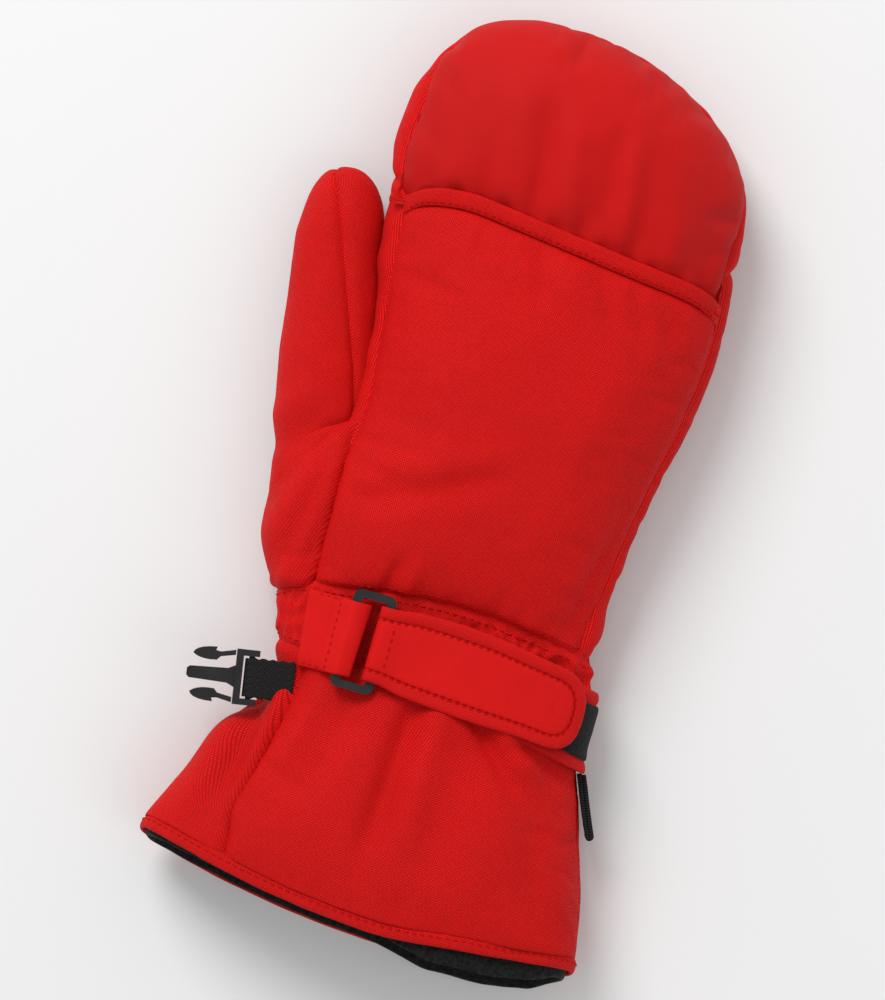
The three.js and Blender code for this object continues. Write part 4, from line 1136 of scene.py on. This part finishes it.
def stitches(name, path, on, body, material=THREAD, pitch=2.6, length=1.9, width=0.62):
    """A row of thread stitches laid on the surface that the path passes over."""
    bpy.context.view_layer.update()
    graph = bpy.context.evaluated_depsgraph_get()
    trees = [BVHTree.FromObject(SHOWN[o], graph) for o in on]
    run = np.r_[0, np.cumsum(np.linalg.norm(np.diff(path, axis=0), axis=1))]
    count = int(run[-1] / pitch)
    step = run[-1] / max(count, 1)

    def place(at):
        return np.array([np.interp(at, run, path[:, i]) for i in range(3)])

    points, faces = [], []
    for k in range(count):
        first = k * step + (step - length) / 2
        start = len(points)
        for share, thick, dive in STITCH:
            at = first + share * length
            p = place(at)
            hits = [t.find_nearest(Vector(p * MM)) for t in trees]
            spot, normal, _, _ = min(hits, key=lambda h: h[3])
            spot, normal = np.array(spot) / MM, np.array(normal)
            along = place(at + 0.3) - p
            along = along - normal * (along @ normal)
            along /= max(np.linalg.norm(along), 1e-9)
            across = np.cross(normal, along)
            centre = spot + normal * (dive * width * 0.5 - STITCH_SINK + width * 0.22)
            for j in range(STITCH_SIDES):
                a = TAU * j / STITCH_SIDES
                offset = across * math.cos(a) + normal * math.sin(a) * 0.8
                points.append(centre + offset * width * 0.5 * thick)
        faces += [tuple(start + i for i in face)
                  for face in grid_faces(len(STITCH), STITCH_SIDES, True)]
        faces.append(tuple(start + j for j in reversed(range(STITCH_SIDES))))
        faces.append(tuple(range(len(points) - STITCH_SIDES, len(points))))
    finish_piece(mesh_object(name, points, faces), body, material, None)


def over_back(first, last, y_of):
    x = np.linspace(first, last, 140)
    y = y_of(x)
    return xyz(x, y, top(x, y, 2.0))


stitches("hem_stitches", over_back(-55.5, 56.5, lambda x: hem_edge(x) - 5.4),
         ["back_hem_cloth", "back_cloth"], HOOD_BEND)
stitches("wrist_stitches", over_back(-50.5, 48.5, lambda x: wrist_line(x) + 1.6), ["back_cloth"],
         "hand")
a = np.linspace(0, TAU, 400)
for name, y, cloth in (
        ("casing_stitches_low", -67.2, "wrist_casing_cloth"),
        ("casing_stitches_high", casing_top(ring_place(a), a) - 2.0, "wrist_casing_cloth"),
        ("cuff_hem_stitches", -151.8, "cuff_hem_cloth")):
    stitches(name, hand_at(y, a), [cloth], "hand", pitch=2.8, length=2.0)
for k, share in enumerate((0.295, 0.355)):
    stitches(f"tab_stitches_{k}", tab_place(share, 0.3, 400),
             ["tab_core_cloth", "tab_binding_cloth"], "tab", width=0.6)
for name, x, y, z, cloth, body in (
        ("tab_cross_stitches", -19.6, np.linspace(-54.0, -68.4, 60), 44, "tab_core_cloth", "tab"),
        ("keeper_stitches", -41.0, np.linspace(-50.0, -74.6, 80), 40, "keeper_cloth", "hand")):
    stitches(name, xyz(x, y, z), [cloth], body, width=0.6)
for k, off in enumerate((12.4, -12.4)):
    x = np.linspace(-48.5, -31.5, 60)
    y = lerp(-62.3, -61.4, (x + 50) / 20) + off
    stitches(f"keeper_edge_stitches_{k}", xyz(x, y, top(x, y, 5)), ["keeper_cloth"], "hand",
             pitch=2.4, length=1.7, width=0.42)
for k, y in enumerate((98.6, 102.2)):
    x = np.linspace(side(y, PALM_SEAM_Z, -1) + 1, side(y, PALM_SEAM_Z, 1) - 1, 150)
    stitches(f"leather_hem_stitches_{k}", xyz(x, y, bottom(x, y)), ["hood_hem_skin"], "hood",
             BLACK_THREAD, 2.8, 2.0, 0.5)
x = np.linspace(-50, 52, 150)
stitches("palm_stitches", xyz(x, 32.0, bottom(x, 32.0)), ["palm_skin"], "hand", BLACK_THREAD, 2.8,
         2.0, 0.5)

# ------------------------------------------------------------------ floor, light and camera
floor_graph = Graph("floor", (0.77, 0.77, 0.77), 0.9, 0.0, 0.0)
half = 2000
floor = mesh_object("floor", [(-half, -half, -0.4), (half, -half, -0.4), (half, half, -0.4),
                              (-half, half, -0.4)], [(0, 1, 2, 3)])
floor.data.materials.append(floor_graph.done())

scene = bpy.context.scene
world = bpy.data.worlds.new("studio")
world.use_nodes = True
world.node_tree.nodes["Background"].inputs["Color"].default_value = (1, 1, 1, 1)
world.node_tree.nodes["Background"].inputs["Strength"].default_value = 0.65
scene.world = world


def area_light(name, place, aim, size, power):
    data = bpy.data.lights.new(name, "AREA")
    data.shape, data.size, data.energy = "DISK", size, power
    obj = bpy.data.objects.new(name, data)
    obj.location = place
    obj.rotation_euler = (Vector(aim) - Vector(place)).to_track_quat("-Z", "Y").to_euler()
    scene.collection.objects.link(obj)


area_light("key", (-1.30, 1.50, 1.75), (0, 0, 0.02), 1.4, 51.0)
area_light("fill", (1.1, -0.3, 1.2), (0, 0, 0.02), 1.2, 2.6)

TILT = math.radians(16)
VIEW_HEIGHT, DISTANCE = 0.340, 2.4
camera = bpy.data.cameras.new("camera")
camera.lens = camera.sensor_width * DISTANCE / VIEW_HEIGHT
camera.clip_end = 20
seat = bpy.data.objects.new("camera", camera)
seat.location = (-0.0161, -0.0080, DISTANCE + 0.02)
seat.rotation_euler = (0, 0, TILT)
scene.collection.objects.link(seat)
scene.camera = seat
scene.view_settings.view_transform = "Standard"
scene.view_settings.look = "None"
